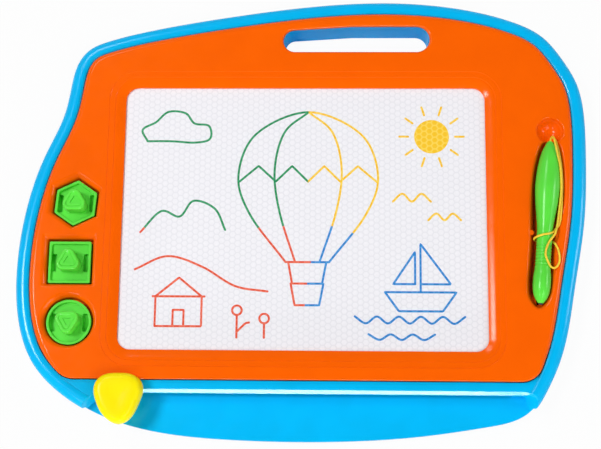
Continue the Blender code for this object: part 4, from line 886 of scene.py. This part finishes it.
def build_rear_shell():
    """Blue tub with a rolled rim, a shelf, the handle tunnel, bosses and the slot for the eraser's arm."""
    base = rounding(lambda inwards: inset(EDGE, WALL_SETBACK + inwards), BASE_ROUND, BASE_ROUND, steps=6)
    rings = [(ring, BASE_ROUND - level) for ring, level in base[::-1]]
    bead_low = BEAD_TOP_Z - BEAD_RADIUS
    wall_high = bead_low - sqrt(BEAD_RADIUS**2 - (BEAD_RADIUS - WALL_SETBACK)**2)
    rings.append((inset(EDGE, WALL_SETBACK), wall_high))
    rings.append((inset(EDGE, WALL_SETBACK / 4), (wall_high + bead_low) / 2))
    rings += rounding(lambda inwards: inset(EDGE, inwards * BEAD_WIDTH / BEAD_RADIUS),
                      BEAD_RADIUS, BEAD_TOP_Z, steps=12)
    shell = loft(rings)

    seat_inset = RIM_WIDTH - TOUCH_GAP
    valley = rounding(lambda inwards: inset(EDGE, seat_inset - inwards),
                      seat_inset - BEAD_WIDTH, BEAD_TOP_Z, steps=10)
    seat_rings = [(inset(EDGE, seat_inset), RIM_LIP_Z)]
    seat_rings += [(ring, BEAD_TOP_Z - (BEAD_TOP_Z - level) * BEAD_INNER_FALL_SHARE)
                   for ring, level in valley]
    seat = loft(seat_rings + [(inset(EDGE, BEAD_WIDTH), BEAD_TOP_Z + OVERRUN)])
    flat_y = BEZEL_BOTTOM_Y + LEDGE_RISE_END
    low_y = flat_y + LEDGE_RISE_LENGTH
    cut(seat, loft([([(-BOARD_WIDTH, -BOARD_HEIGHT), (BOARD_WIDTH, -BOARD_HEIGHT), (BOARD_WIDTH, end_y),
                      (-BOARD_WIDTH, end_y)], level)
                    for end_y, level in ((low_y, 0), (low_y, RIM_LIP_Z), (flat_y, LEDGE_Z))]))
    cut(shell, seat)
    low_seat = prism(bezel_outline(2 * TOUCH_GAP), RIM_LIP_Z, BEAD_TOP_Z + 2 * OVERRUN)
    cut(low_seat, block((-BOARD_WIDTH, low_y + OVERRUN, 0),
                        (BOARD_WIDTH, BOARD_HEIGHT, FACE_Z + 2 * OVERRUN)))
    cut(shell, low_seat)

    hollow = prism(inset(EDGE, WALL_SETBACK + SHELL_WALL), FLOOR_THICKNESS, RIM_LIP_Z + OVERRUN / 2)
    step_y = STEP_WALL_Y + SHELL_WALL
    cut(hollow, block((-BOARD_WIDTH, -BOARD_HEIGHT, SHELF_Z - SHELL_WALL), (BOARD_WIDTH, step_y, FACE_Z)))
    cut(shell, hollow)
    cut(shell, block((SHELF_LEFT_X, step_y + TOUCH_GAP, RIM_LIP_Z),
                     (SHELF_RIGHT_X - STEP_RIGHT_RADIUS, BEZEL_BOTTOM_Y + OVERRUN, LEDGE_Z - SHELL_WALL)))
    cut(shell, shelf_space())

    low = FLOOR_THICKNESS - FLOOR_THICKNESS / 4
    inside = [cylinder(place, BOSS_RADIUS, low, POST_Z - TOUCH_GAP, BOSS_SIDES) for place in SCREWS]
    inside.append(prism(inset(handle_outline(), -TUNNEL_WALL), low, FACE_Z - BEZEL_PLATE - TOUCH_GAP))
    join(shell, inside)

    holes = [loft([(handle_outline(-HANDLE_DRAFT), -OVERRUN), (handle_outline(), FACE_Z)])]
    holes += [turned(place, SCREW_SIDES, [(COUNTERBORE_RADIUS, -OVERRUN), (COUNTERBORE_RADIUS, SCREW_SEAT_Z),
                                          (SHANK_HOLE_RADIUS, SCREW_SEAT_Z), (SHANK_HOLE_RADIUS, POST_Z)])
              for place in SCREWS]
    past_arm = ARM_HALF_WIDTH + ARM_SLOT_END_CLEARANCE
    holes.append(block((ERASER_X - past_arm, STEP_WALL_Y - OVERRUN, SHELF_Z),
                       (ERASER_X + ERASER_TRAVEL + past_arm, step_y + OVERRUN, SHELF_Z + ARM_SLOT_HEIGHT)))
    cut(shell, holes)
    return shell


def dish(place):
    """The finger dish, part of a ball with a rounded mouth."""
    width = DISH_RADIUS - DISH_MOUTH_ROUND
    ball = (width**2 + DISH_DEPTH**2) / (2 * DISH_DEPTH)
    profile = []
    for i in range(DISH_RINGS + 1):
        radius = width * (DISH_BOTTOM_SHARE + (1 - DISH_BOTTOM_SHARE) * i / DISH_RINGS)
        profile.append((radius, FACE_Z - DISH_DEPTH + ball - sqrt(ball**2 - radius**2)))
    profile = [(radius, level) for radius, level in profile if level < FACE_Z - DISH_MOUTH_ROUND]
    profile += rounding(lambda inwards: width + inwards, DISH_MOUTH_ROUND, FACE_Z, MOUTH_STEPS)
    return turned(place, DISH_SIDES, profile + [(DISH_RADIUS, FACE_Z + OVERRUN)])


def well(name):
    """The hollow that a stamp stands in, its mouth leaning to the left and the top."""
    def mouth(grow):
        x, y = WELLS[name]
        lean = WELL_MOUTH_LEAN * max(grow, 0.0) / WELL_MOUTH_ROUND
        return moved(stamp_outline(name, WELL_CLEARANCE + grow), (x - lean, y + lean))

    return loft([(mouth(-WELL_DRAFT), WELL_FLOOR_Z)] + flared_mouth(mouth, FACE_Z, WELL_MOUTH_ROUND))


def build_front_bezel():
    """Orange cover with the window frame, wells, trough, dish, cord hole, handle mouth and nubs."""
    edge = bezel_outline()
    shares = [min(1.0, (y - BEZEL_BOTTOM_Y) / BEZEL_ROUND_RISE) for x, y in edge]
    rounds = [BEZEL_LOW_ROUND + (BEZEL_EDGE_ROUND - BEZEL_LOW_ROUND) * share for share in shares]
    rings = [(edge, BEZEL_SKIRT_Z)]
    for inwards, level in rounding(lambda inwards: inwards, 1.0, 0.0, steps=8):
        rings.append((inset(edge, [inwards * radius for radius in rounds]),
                      [FACE_Z + level * radius for radius in rounds]))
    bezel = loft(rings)

    plate_low = FACE_Z - BEZEL_PLATE
    hollow = prism(inset(edge, BEZEL_WALL), BEZEL_SKIRT_Z - OVERRUN, plate_low)
    kept = [prism(moved(stamp_outline(name, WELL_CLEARANCE + WELL_MOUTH_ROUND + CUP_WALL), WELLS[name]),
                  WELL_FLOOR_Z - CUP_WALL, FACE_Z) for name in STAMPS]
    kept.append(prism(trough_outline(CUP_WALL), TROUGH_FLOOR_Z - CUP_WALL, FACE_Z))
    dish_floor = FACE_Z - DISH_DEPTH - DISH_WALL
    dish_place = past_tail(DISH_PAST_TAIL)
    kept.append(cylinder(dish_place, DISH_RADIUS, dish_floor, FACE_Z, DISH_SIDES))
    second_z = FACE_Z - FRAME_STEP - FRAME_STEP
    lip_z = second_z - FRAME_SLOPE_FALL
    kept.append(prism(window_outline(FRAME_OUTER_MARGIN), lip_z - FLANGE_THICKNESS, FACE_Z))
    kept.append(prism(handle_outline(TUNNEL_WALL), plate_low - TUNNEL_WALL, FACE_Z))
    cut(hollow, kept)
    cut(bezel, hollow)

    first_z, top = FACE_Z - FRAME_STEP, FACE_Z + OVERRUN
    cut(bezel, loft([(window_outline(margin), level) for margin, level in (
        (0, BEZEL_SKIRT_Z), (0, lip_z), (FRAME_SLOPE_MARGIN, second_z),
        (FRAME_MIDDLE_MARGIN - FRAME_DRAFT, second_z), (FRAME_MIDDLE_MARGIN, first_z),
        (FRAME_OUTER_MARGIN - FRAME_DRAFT, first_z), (FRAME_OUTER_MARGIN, FACE_Z),
        (FRAME_OUTER_MARGIN, top))]))

    pockets = [well(name) for name in STAMPS]
    pockets.append(loft([(trough_outline(-TROUGH_DRAFT), TROUGH_FLOOR_Z)]
                        + flared_mouth(trough_outline, FACE_Z, TROUGH_MOUTH_ROUND)))
    pockets.append(dish(dish_place))
    pockets.append(cylinder(past_tail(CORD_HOLE_PAST_TAIL), CORD_HOLE_RADIUS, dish_floor - OVERRUN, FACE_Z,
                            SCREW_SIDES))
    pockets.append(loft([(handle_outline(), BEZEL_SKIRT_Z)]
                        + flared_mouth(handle_outline, FACE_Z, HANDLE_MOUTH_ROUND)))
    cut(bezel, pockets)
    join(bezel, [cylinder(beside_pen(*place), NUB_RADIUS, NUB_LOW_Z, FACE_Z - NUB_TOP_DROP, SCREW_SIDES)
                 for place in NUB_SHARES])
    return bezel


def build_stamp(name):
    """One stamp: a rimmed base with finger slots, a three-cornered grip and a seat for its magnet."""
    low = WELL_FLOOR_Z + TOUCH_GAP
    floor_z = STAMP_RIM_Z - STAMP_RIM_DEPTH
    seat_high = low + STAMP_MAGNET_THICKNESS + TOUCH_GAP
    stamp = loft([(stamp_outline(name), low)]
                 + rounding(lambda inwards: stamp_outline(name, -inwards),
                            STAMP_RIM_ROUND, STAMP_RIM_Z, steps=3))

    def inner(grow):
        return stamp_outline(name, grow - STAMP_RIM_WIDTH)

    cut(stamp, loft([(inner(0), floor_z)] + flared_mouth(inner, STAMP_RIM_Z, STAMP_RIM_ROUND)))
    for side in (-1, 1):
        centre = (side * (FINGER_SLOT_X + FINGER_SLOT_LENGTH / 2), 0)
        slot_loop = rounded_rectangle(centre, FINGER_SLOT_LENGTH, FINGER_SLOT_LENGTH, FINGER_SLOT_CORNER,
                                      STAMP_CORNER_STEPS)
        slot = prism(slot_loop, seat_high + FINGER_SLOT_ROOF, STAMP_RIM_Z)
        boolean(slot, "INTERSECT", prism(inner(TOUCH_GAP), low, floor_z + TOUCH_GAP))
        cut(stamp, slot)

    turn = pi if name == "round" else 0
    corners = regular_polygon((0, 0), (GRIP_WIDTH - 2 * GRIP_CORNER) / sqrt(3) + 2 * GRIP_CORNER, 3, turn)
    grip = rounded_polygon(corners, [GRIP_CORNER] * 3, steps=12)
    join(stamp, loft([(grip, floor_z - FINGER_SLOT_ROOF)]
                     + rounding(lambda inwards: inset(grip, GRIP_DRAFT + inwards),
                                GRIP_EDGE_ROUND, GRIP_TOP_Z, steps=6)))
    above = GRIP_TOP_Z + OVERRUN
    border = inset(grip, GRIP_BORDER)
    cut(stamp, loft([(inset(border, GRIP_BORDER_SLOPE), GRIP_TOP_Z - GRIP_BORDER_DEPTH),
                     (border, GRIP_TOP_Z), (border, above)]))
    mark = regular_polygon((0, 0), GRIP_MARK_SIDE / sqrt(3), 3, turn)
    cut(stamp, prism(mark, GRIP_TOP_Z - GRIP_MARK_DEPTH, above))
    cut(stamp, prism(stamp_outline(name, TOUCH_GAP - STAMP_MAGNET_MARGIN), low - OVERRUN, seat_high))
    return stamp


def build_pen():
    """Turned barrel with a ringed grip, along -Z from its tail."""
    fine = smooth_route([(along, across, 0) for along, across in PEN_PROFILE_SHARES], per_span=6)
    rings = np.linspace(PEN_GRIP_START_SHARE, PEN_GRIP_END_SHARE, PEN_GRIP_RING_STEPS * PEN_GRIP_RINGS + 1)
    profile = []
    for along in np.unique(np.concatenate([fine[:, 0], rings])):
        radius = PEN_RADIUS * np.interp(along, fine[:, 0], fine[:, 1])
        share = (along - PEN_GRIP_START_SHARE) / (PEN_GRIP_END_SHARE - PEN_GRIP_START_SHARE)
        if 0 < share < 1:
            radius -= PEN_GRIP_DEPTH * (1 - cos(2 * pi * PEN_GRIP_RINGS * share)) / 2
        profile.append((radius, -along * PEN_LENGTH))
    pen = turned((0, 0), PEN_SIDES, profile)
    cut(pen, cylinder((0, 0), PEN_BORE_RADIUS, -PEN_BORE_DEPTH, OVERRUN, PEN_BORE_SIDES))
    nib_low = -PEN_LENGTH - NIB_PROUD
    cut(pen, cylinder((0, 0), NIB_RADIUS + TOUCH_GAP,
                      nib_low, nib_low + NIB_LENGTH + TOUCH_GAP, PEN_BORE_SIDES))
    return pen


def build_knob():
    """The slider's knob, with a shallow thumb rest in its top."""
    loop = closed_spline([(x * KNOB_WIDTH, y * KNOB_LENGTH + KNOB_Y) for x, y in KNOB_SHARES], per_span=8)
    head_low = FACE_Z + KNOB_LIFT
    top = head_low + KNOB_THICKNESS
    base = rounding(lambda inwards: inset(loop, inwards), KNOB_BASE_ROUND, 0, steps=5)
    rings = [(ring, head_low - level) for ring, level in base[::-1]]
    for ring, level in rounding(lambda inwards: inset(loop, inwards), KNOB_TOP_ROUND, top, steps=12):
        rings.append((ring, top - KNOB_TOP_ROUND * ((top - level) / KNOB_TOP_ROUND)**KNOB_EDGE_POWER))
    brim = rings[-1][0]
    centre = np.mean(brim, axis=0)
    for step in range(1, KNOB_DIP_STEPS):
        share = 1 - step / KNOB_DIP_STEPS
        rings.append(([tuple(centre + (np.array(point) - centre) * share) for point in brim],
                      top - KNOB_DIP * (1 - share**2)**2))
    head = loft(rings)
    high = SHELF_Z + TOUCH_GAP + ARM_THICKNESS
    neck = rounded_rectangle((0, NECK_Y), NECK_LENGTH, NECK_DEPTH, NECK_CORNER, STAMP_CORNER_STEPS)
    join(head, prism(neck, high + TOUCH_GAP, head_low + KNOB_BASE_ROUND))
    cut(head, cylinder((0, NECK_Y), PIN_RADIUS + TOUCH_GAP, high - OVERRUN, high + PIN_RISE + TOUCH_GAP,
                       SCREW_SIDES))
    return head


def build_screw(place):
    """A pan-head screw seen from behind: rounded head with a cross recess."""
    low = SCREW_SEAT_Z - TOUCH_GAP - SCREW_HEAD_HEIGHT
    rim = low + SCREW_HEAD_HEIGHT
    profile = [(SCREW_FLAT_SHARE * SCREW_HEAD_RADIUS, low)]
    for i in range(1, SCREW_HEAD_STEPS + 1):
        angle = pi / 2 * i / SCREW_HEAD_STEPS
        profile.append((SCREW_HEAD_RADIUS * (SCREW_FLAT_SHARE + (1 - SCREW_FLAT_SHARE) * sin(angle)),
                        low + SCREW_HEAD_HEIGHT * SCREW_CROWN_SHARE * (1 - cos(angle))))
    profile += [(SCREW_HEAD_RADIUS, rim), (SCREW_SHANK_RADIUS, rim),
                (SCREW_SHANK_RADIUS, SCREW_SEAT_Z + SCREW_LENGTH)]
    screw = turned(place, SCREW_SIDES, profile)
    arm, half = CROSS_ARM, CROSS_HALF_WIDTH
    cross = [(half, -arm), (half, -half), (arm, -half), (arm, half), (half, half), (half, arm)]
    cross += [(-x, -y) for x, y in cross]
    cut(screw, prism(moved(cross, place), low - OVERRUN, low + CROSS_DEPTH))
    return screw


# Dressing the pieces and tying them to the frame

def weigh(piece):
    """Lets large flat faces keep their own direction in the shading."""
    piece.modifiers.new("flat_faces", "WEIGHTED_NORMAL").keep_sharp = True


def dress(name, mesh, body, material, sharp=SHARP_DEGREES):
    """Shades a mesh, links it as a piece and lets it ride on its body."""
    mesh.materials.clear()
    mesh.materials.append(material)
    for face in mesh.polygons:
        face.material_index = 0
    mesh.shade_smooth()
    mesh.set_sharp_from_angle(angle=radians(sharp))
    mesh.name = name
    piece = linked(name, mesh)
    weigh(piece)
    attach(piece, body)
    return piece


def bake(solid, node, body, material, place=Matrix(), sharp=SHARP_DEGREES):
    """Turns a solid with its Booleans into one mesh that stands for a CAD node and rides on its body."""
    for piece in WORK.objects:
        for modifier in piece.modifiers:
            modifier.show_viewport = True
    bpy.context.view_layer.update()
    mesh = bpy.data.meshes.new_from_object(solid.evaluated_get(bpy.context.evaluated_depsgraph_get()))
    mesh.transform(place)
    for piece in list(WORK.objects):
        bpy.data.objects.remove(piece)
    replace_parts(dress(node + "_fine", mesh, body, material, sharp), node)


orange = plastic("bezel_plastic", ORANGE, roughness=0.15, gloss=0.2)
blue = plastic("shell_plastic", SKY_BLUE, roughness=0.16, gloss=0.3)
green = plastic("stamp_plastic", LEAF_GREEN, roughness=0.22, gloss=0.3, mottling=0.05)
yellow = plastic("knob_plastic", YELLOW, roughness=0.22, gloss=0.1, mottling=0.02)
dark = grainy("magnet_rubber", MAGNET_GREY, 0.6, spots=300.0, mottling=0.2, grain=2500.0, detail=3.0)
steel = brushed("screw_steel_look", STEEL)
sheet_white = cells("screen_sheet_look", WHITE, WHITE_CELL)
core = cells("screen_core_look", CORE_GREY, CORE_CELL)

bake(build_rear_shell(), "rear_shell", "board", blue)
bake(build_front_bezel(), "front_bezel", "board", orange, sharp=BEZEL_SHARP_DEGREES)
bake(build_knob(), "eraser_knob", "eraser", yellow, Matrix.Translation((ERASER_X, 0, 0)))
for name, place in STAMPS.items():
    bake(build_stamp(name), f"stamp_{name}", f"{name}_stamp", green, Matrix.Translation((*place, 0)))
pen_place = Matrix.Translation((*PEN_TAIL, TROUGH_FLOOR_Z + TOUCH_GAP + PEN_RADIUS))
pen_place = pen_place @ (Matrix.Rotation(-PEN_LEAN, 4, "Z") @ Matrix.Rotation(-pi / 2, 4, "X"))
bake(build_pen(), "pen_barrel", "pen", green, pen_place)
for number, place in enumerate(SCREWS, start=1):
    bake(build_screw(place), f"case_screw_{number}", "board", steel)

# CAD nodes whose shape is right as it is
CARRIED = {
    "screen_front_sheet": sheet_white, "screen_honeycomb": core, "screen_back_sheet": sheet_white,
    "eraser_carriage": yellow, "eraser_magnet": dark, "stamp_hexagon_magnet": dark,
    "stamp_square_magnet": dark, "stamp_round_magnet": dark, "pen_nib": dark, "cord_knot": fibre,
}
for node, material in CARRIED.items():
    NODES[node].data.materials.clear()
    NODES[node].data.materials.append(material)
    weigh(NODES[node])


# The drawing on the screen: plain outlines that take the colour of the quarter they cross

def flowing(*points):
    """A smooth open line through points in millimetres."""
    route = smooth_route([(x, y, 0) for x, y in over(1000, points)], per_span=10)
    return [tuple(point[:2]) for point in route]


def straight(*points, steps=12):
    """A line with corners in millimetres, its points close enough to change colour on the way."""
    line = []
    for start, end in zip(over(1000, points), over(1000, points[1:])):
        line += [tuple(Vector(start).lerp(Vector(end), i / steps)) for i in range(steps)]
    return line + over(1000, points[-1:])


def circle(x, y, radius, steps=24):
    """A circle, in millimetres."""
    return arc((x / 1000, y / 1000), radius / 1000, 0, 2 * pi, steps)


def quarter(point):
    """Name of the screen's colour quarter at a point."""
    if point[1] > QUARTER_Y:
        return "green" if point[0] < QUARTER_X else "yellow"
    return "red" if point[0] < QUARTER_X else "blue"


def wave(x, step, start, peak, count):
    """A flowing line that goes to and fro between two heights, in millimetres."""
    return flowing(*[(x + step * i, peak if i % 2 else start) for i in range(count)])


def stroke(shape, line):
    """A flat pen line with round ends, standing a hair above the sheet."""
    points, ways = stations(line, STROKE_SPACING)
    places = [(points[0] - ways[0] * STROKE_RADIUS * cos(angle), ways[0], sin(angle))
              for angle in STROKE_END_ANGLES]
    places += [(point, way, 1.0) for point, way in zip(points[1:-1], ways[1:-1])]
    places += [(points[-1] + ways[-1] * STROKE_RADIUS * cos(angle), ways[-1], sin(angle))
               for angle in STROKE_END_ANGLES[::-1]]
    rings = []
    for point, way, share in places:
        ring = []
        for i in range(STROKE_SIDES):
            angle = 2 * pi * i / STROKE_SIDES
            aside = STROKE_RADIUS * share * cos(angle)
            ring.append(shape.verts.new((point[0] - way[1] * aside, point[1] + way[0] * aside,
                                         SHEET_TOP_Z + STROKE_HEIGHT * (1 + share * sin(angle)))))
        rings.append(ring)
    skin(shape, rings)


# Balloon, cloud, hills, house, flowers, boat, waves and birds, in millimetres from the window's middle
drawing = [
    flowing((-13, -34), (-40, 2), (-49, 32), (-36, 64), (3, 81), (42, 64), (55, 32), (46, 2), (19, -34)),
    flowing((-6, -34), (-18, 4), (-22, 36), (-15, 65), (3, 81)),
    flowing((12, -34), (24, 4), (28, 36), (21, 65), (3, 81)),
    straight((-48, 27), (-34, 39), (-21, 27), (-9, 39), (3, 27), (15, 39), (27, 27), (40, 39), (54, 27)),
    straight((-13, -34), (19, -34)), straight((-11, -34), (-8, -50)), straight((17, -34), (14, -50)),
    straight((-9, -50), (15, -50), (12, -66), (-6, -66), (-9, -50)),
    flowing((-118, 58), (-122, 67), (-112, 73), (-103, 81), (-90, 80), (-83, 72), (-72, 70), (-71, 60),
            (-82, 57), (-100, 58), (-118, 58)),
    flowing((-121, -12), (-106, 4), (-92, 0), (-82, 12), (-66, 6), (-58, -10)),
    flowing((-124, -40), (-100, -30), (-74, -38), (-50, -52), (-26, -56)),
    straight((-108, -82), (-108, -60), (-91, -46), (-74, -60), (-74, -82), (-108, -82)),
    straight((-110, -60), (-72, -60)), straight((-95, -82), (-95, -70), (-87, -70), (-87, -82)),
    circle(-48, -70, 3.5), straight((-48, -73.5), (-48, -90)), flowing((-48, -86), (-42, -80), (-39, -79)),
    circle(-28, -76, 3.5), straight((-28, -79.5), (-28, -90)),
    straight((60, -56), (112, -56), (102, -70), (70, -70), (60, -56)),
    straight((86, -56), (86, -20), (108, -50), (86, -50)),
    straight((82, -50), (66, -50), (82, -26), (82, -50)),
    wave(38, 8, -74, -79, 11), wave(48, 8, -87, -91, 7), wave(66, 7, 12, 18, 5), wave(92, 6, -2, 3, 5),
]

# The sun, in the same units
SUN_PLACE = (95, 62)
SUN_RADIUS = 13
SUN_RAY_REACH = (17.5, 24)
SUN_RAYS = 10
for i in range(SUN_RAYS):
    angle = 2 * pi * i / SUN_RAYS
    ray = [(reach * cos(angle), reach * sin(angle)) for reach in SUN_RAY_REACH]
    drawing.append(straight(*moved(ray, SUN_PLACE)))

shapes = {name: bmesh.new() for name in INKS}
for line in drawing:
    run = line[:1]
    for point in line[1:]:
        run.append(point)
        if quarter(point) != quarter(run[0]) or point is line[-1]:
            stroke(shapes[quarter(run[0])], run)
            run = [point]
disc = circle(*SUN_PLACE, SUN_RADIUS, steps=48)[:-1]
skin(shapes["yellow"], [[shapes["yellow"].verts.new((x, y, SHEET_TOP_Z + height)) for x, y in disc]
                        for height in (STROKE_HEIGHT / 4, STROKE_HEIGHT)])
for name, shape in shapes.items():
    line_colour, wall_colour, slot = INKS[name]
    bmesh.ops.translate(shape, vec=(WINDOW_X, WINDOW_Y, 0), verts=shape.verts)
    ink = cells(f"ink_{name}", line_colour, wall_colour, roughness=0.5, powder_share=0.15)
    dress(f"drawing_{name}", finished(shape, name), "board", ink)


# Floor and light
corners = [(x * FLOOR_REACH, y * FLOOR_REACH, 0) for x, y in ((-1, -1), (1, -1), (1, 1), (-1, 1))]
floor_mesh = bpy.data.meshes.new("floor")
floor_mesh.from_pydata(corners, [], [range(4)])
floor = linked("floor", floor_mesh)
floor.location.z = -TOUCH_GAP / 2
look = Shader("floor_look", FLOOR_WHITE, 0.9, Specular_IOR_Level=0.0)
look.mottle(2.0, 0.004)
glow = look.node("ShaderNodeEmission", {"Color": (1, 1, 1, 1), "Strength": 1.0}).outputs[0]
seen = look.math("MULTIPLY", look.node("ShaderNodeLightPath").outputs["Is Camera Ray"], FLOOR_GLOW)
both = look.node("ShaderNodeMixShader", {0: seen, 1: look.out.outputs[0], 2: glow})
look.tree.links.new(both.outputs[0], look.tree.nodes["Material Output"].inputs["Surface"])
floor_mesh.materials.append(look.material)

world = bpy.data.worlds.new("studio")
SCENE.world = world
world.use_nodes = True
tree = world.node_tree
way = add_node(tree, "ShaderNodeTexCoord").outputs["Generated"]
band = add_node(tree, "ShaderNodeMapRange", {
    "Value": add_node(tree, "ShaderNodeSeparateXYZ", {0: way}).outputs["Z"],
    "From Min": WORLD_LOW_END, "From Max": WORLD_HIGH_START, "To Min": WORLD_LOW, "To Max": WORLD_HIGH})
camera_ray = add_node(tree, "ShaderNodeLightPath").outputs["Is Camera Ray"]
seen_sky = add_node(tree, "ShaderNodeMath", {0: band.outputs["Result"], 1: camera_ray}, operation="MAXIMUM")
sky = tree.nodes["Background"]
sky.inputs["Color"].default_value = (1, 1, 1, 1)
tree.links.new(seen_sky.outputs[0], sky.inputs["Strength"])

for name, (place, target, size, power) in LAMPS.items():
    data = bpy.data.lights.new(name, "AREA")
    data.shape = "RECTANGLE"
    data.size, data.size_y = size
    data.energy = power
    lamp = linked(name, data)
    lamp.location = place
    lamp.rotation_euler = (Vector(target) - Vector(place)).to_track_quat("-Z", "Y").to_euler()
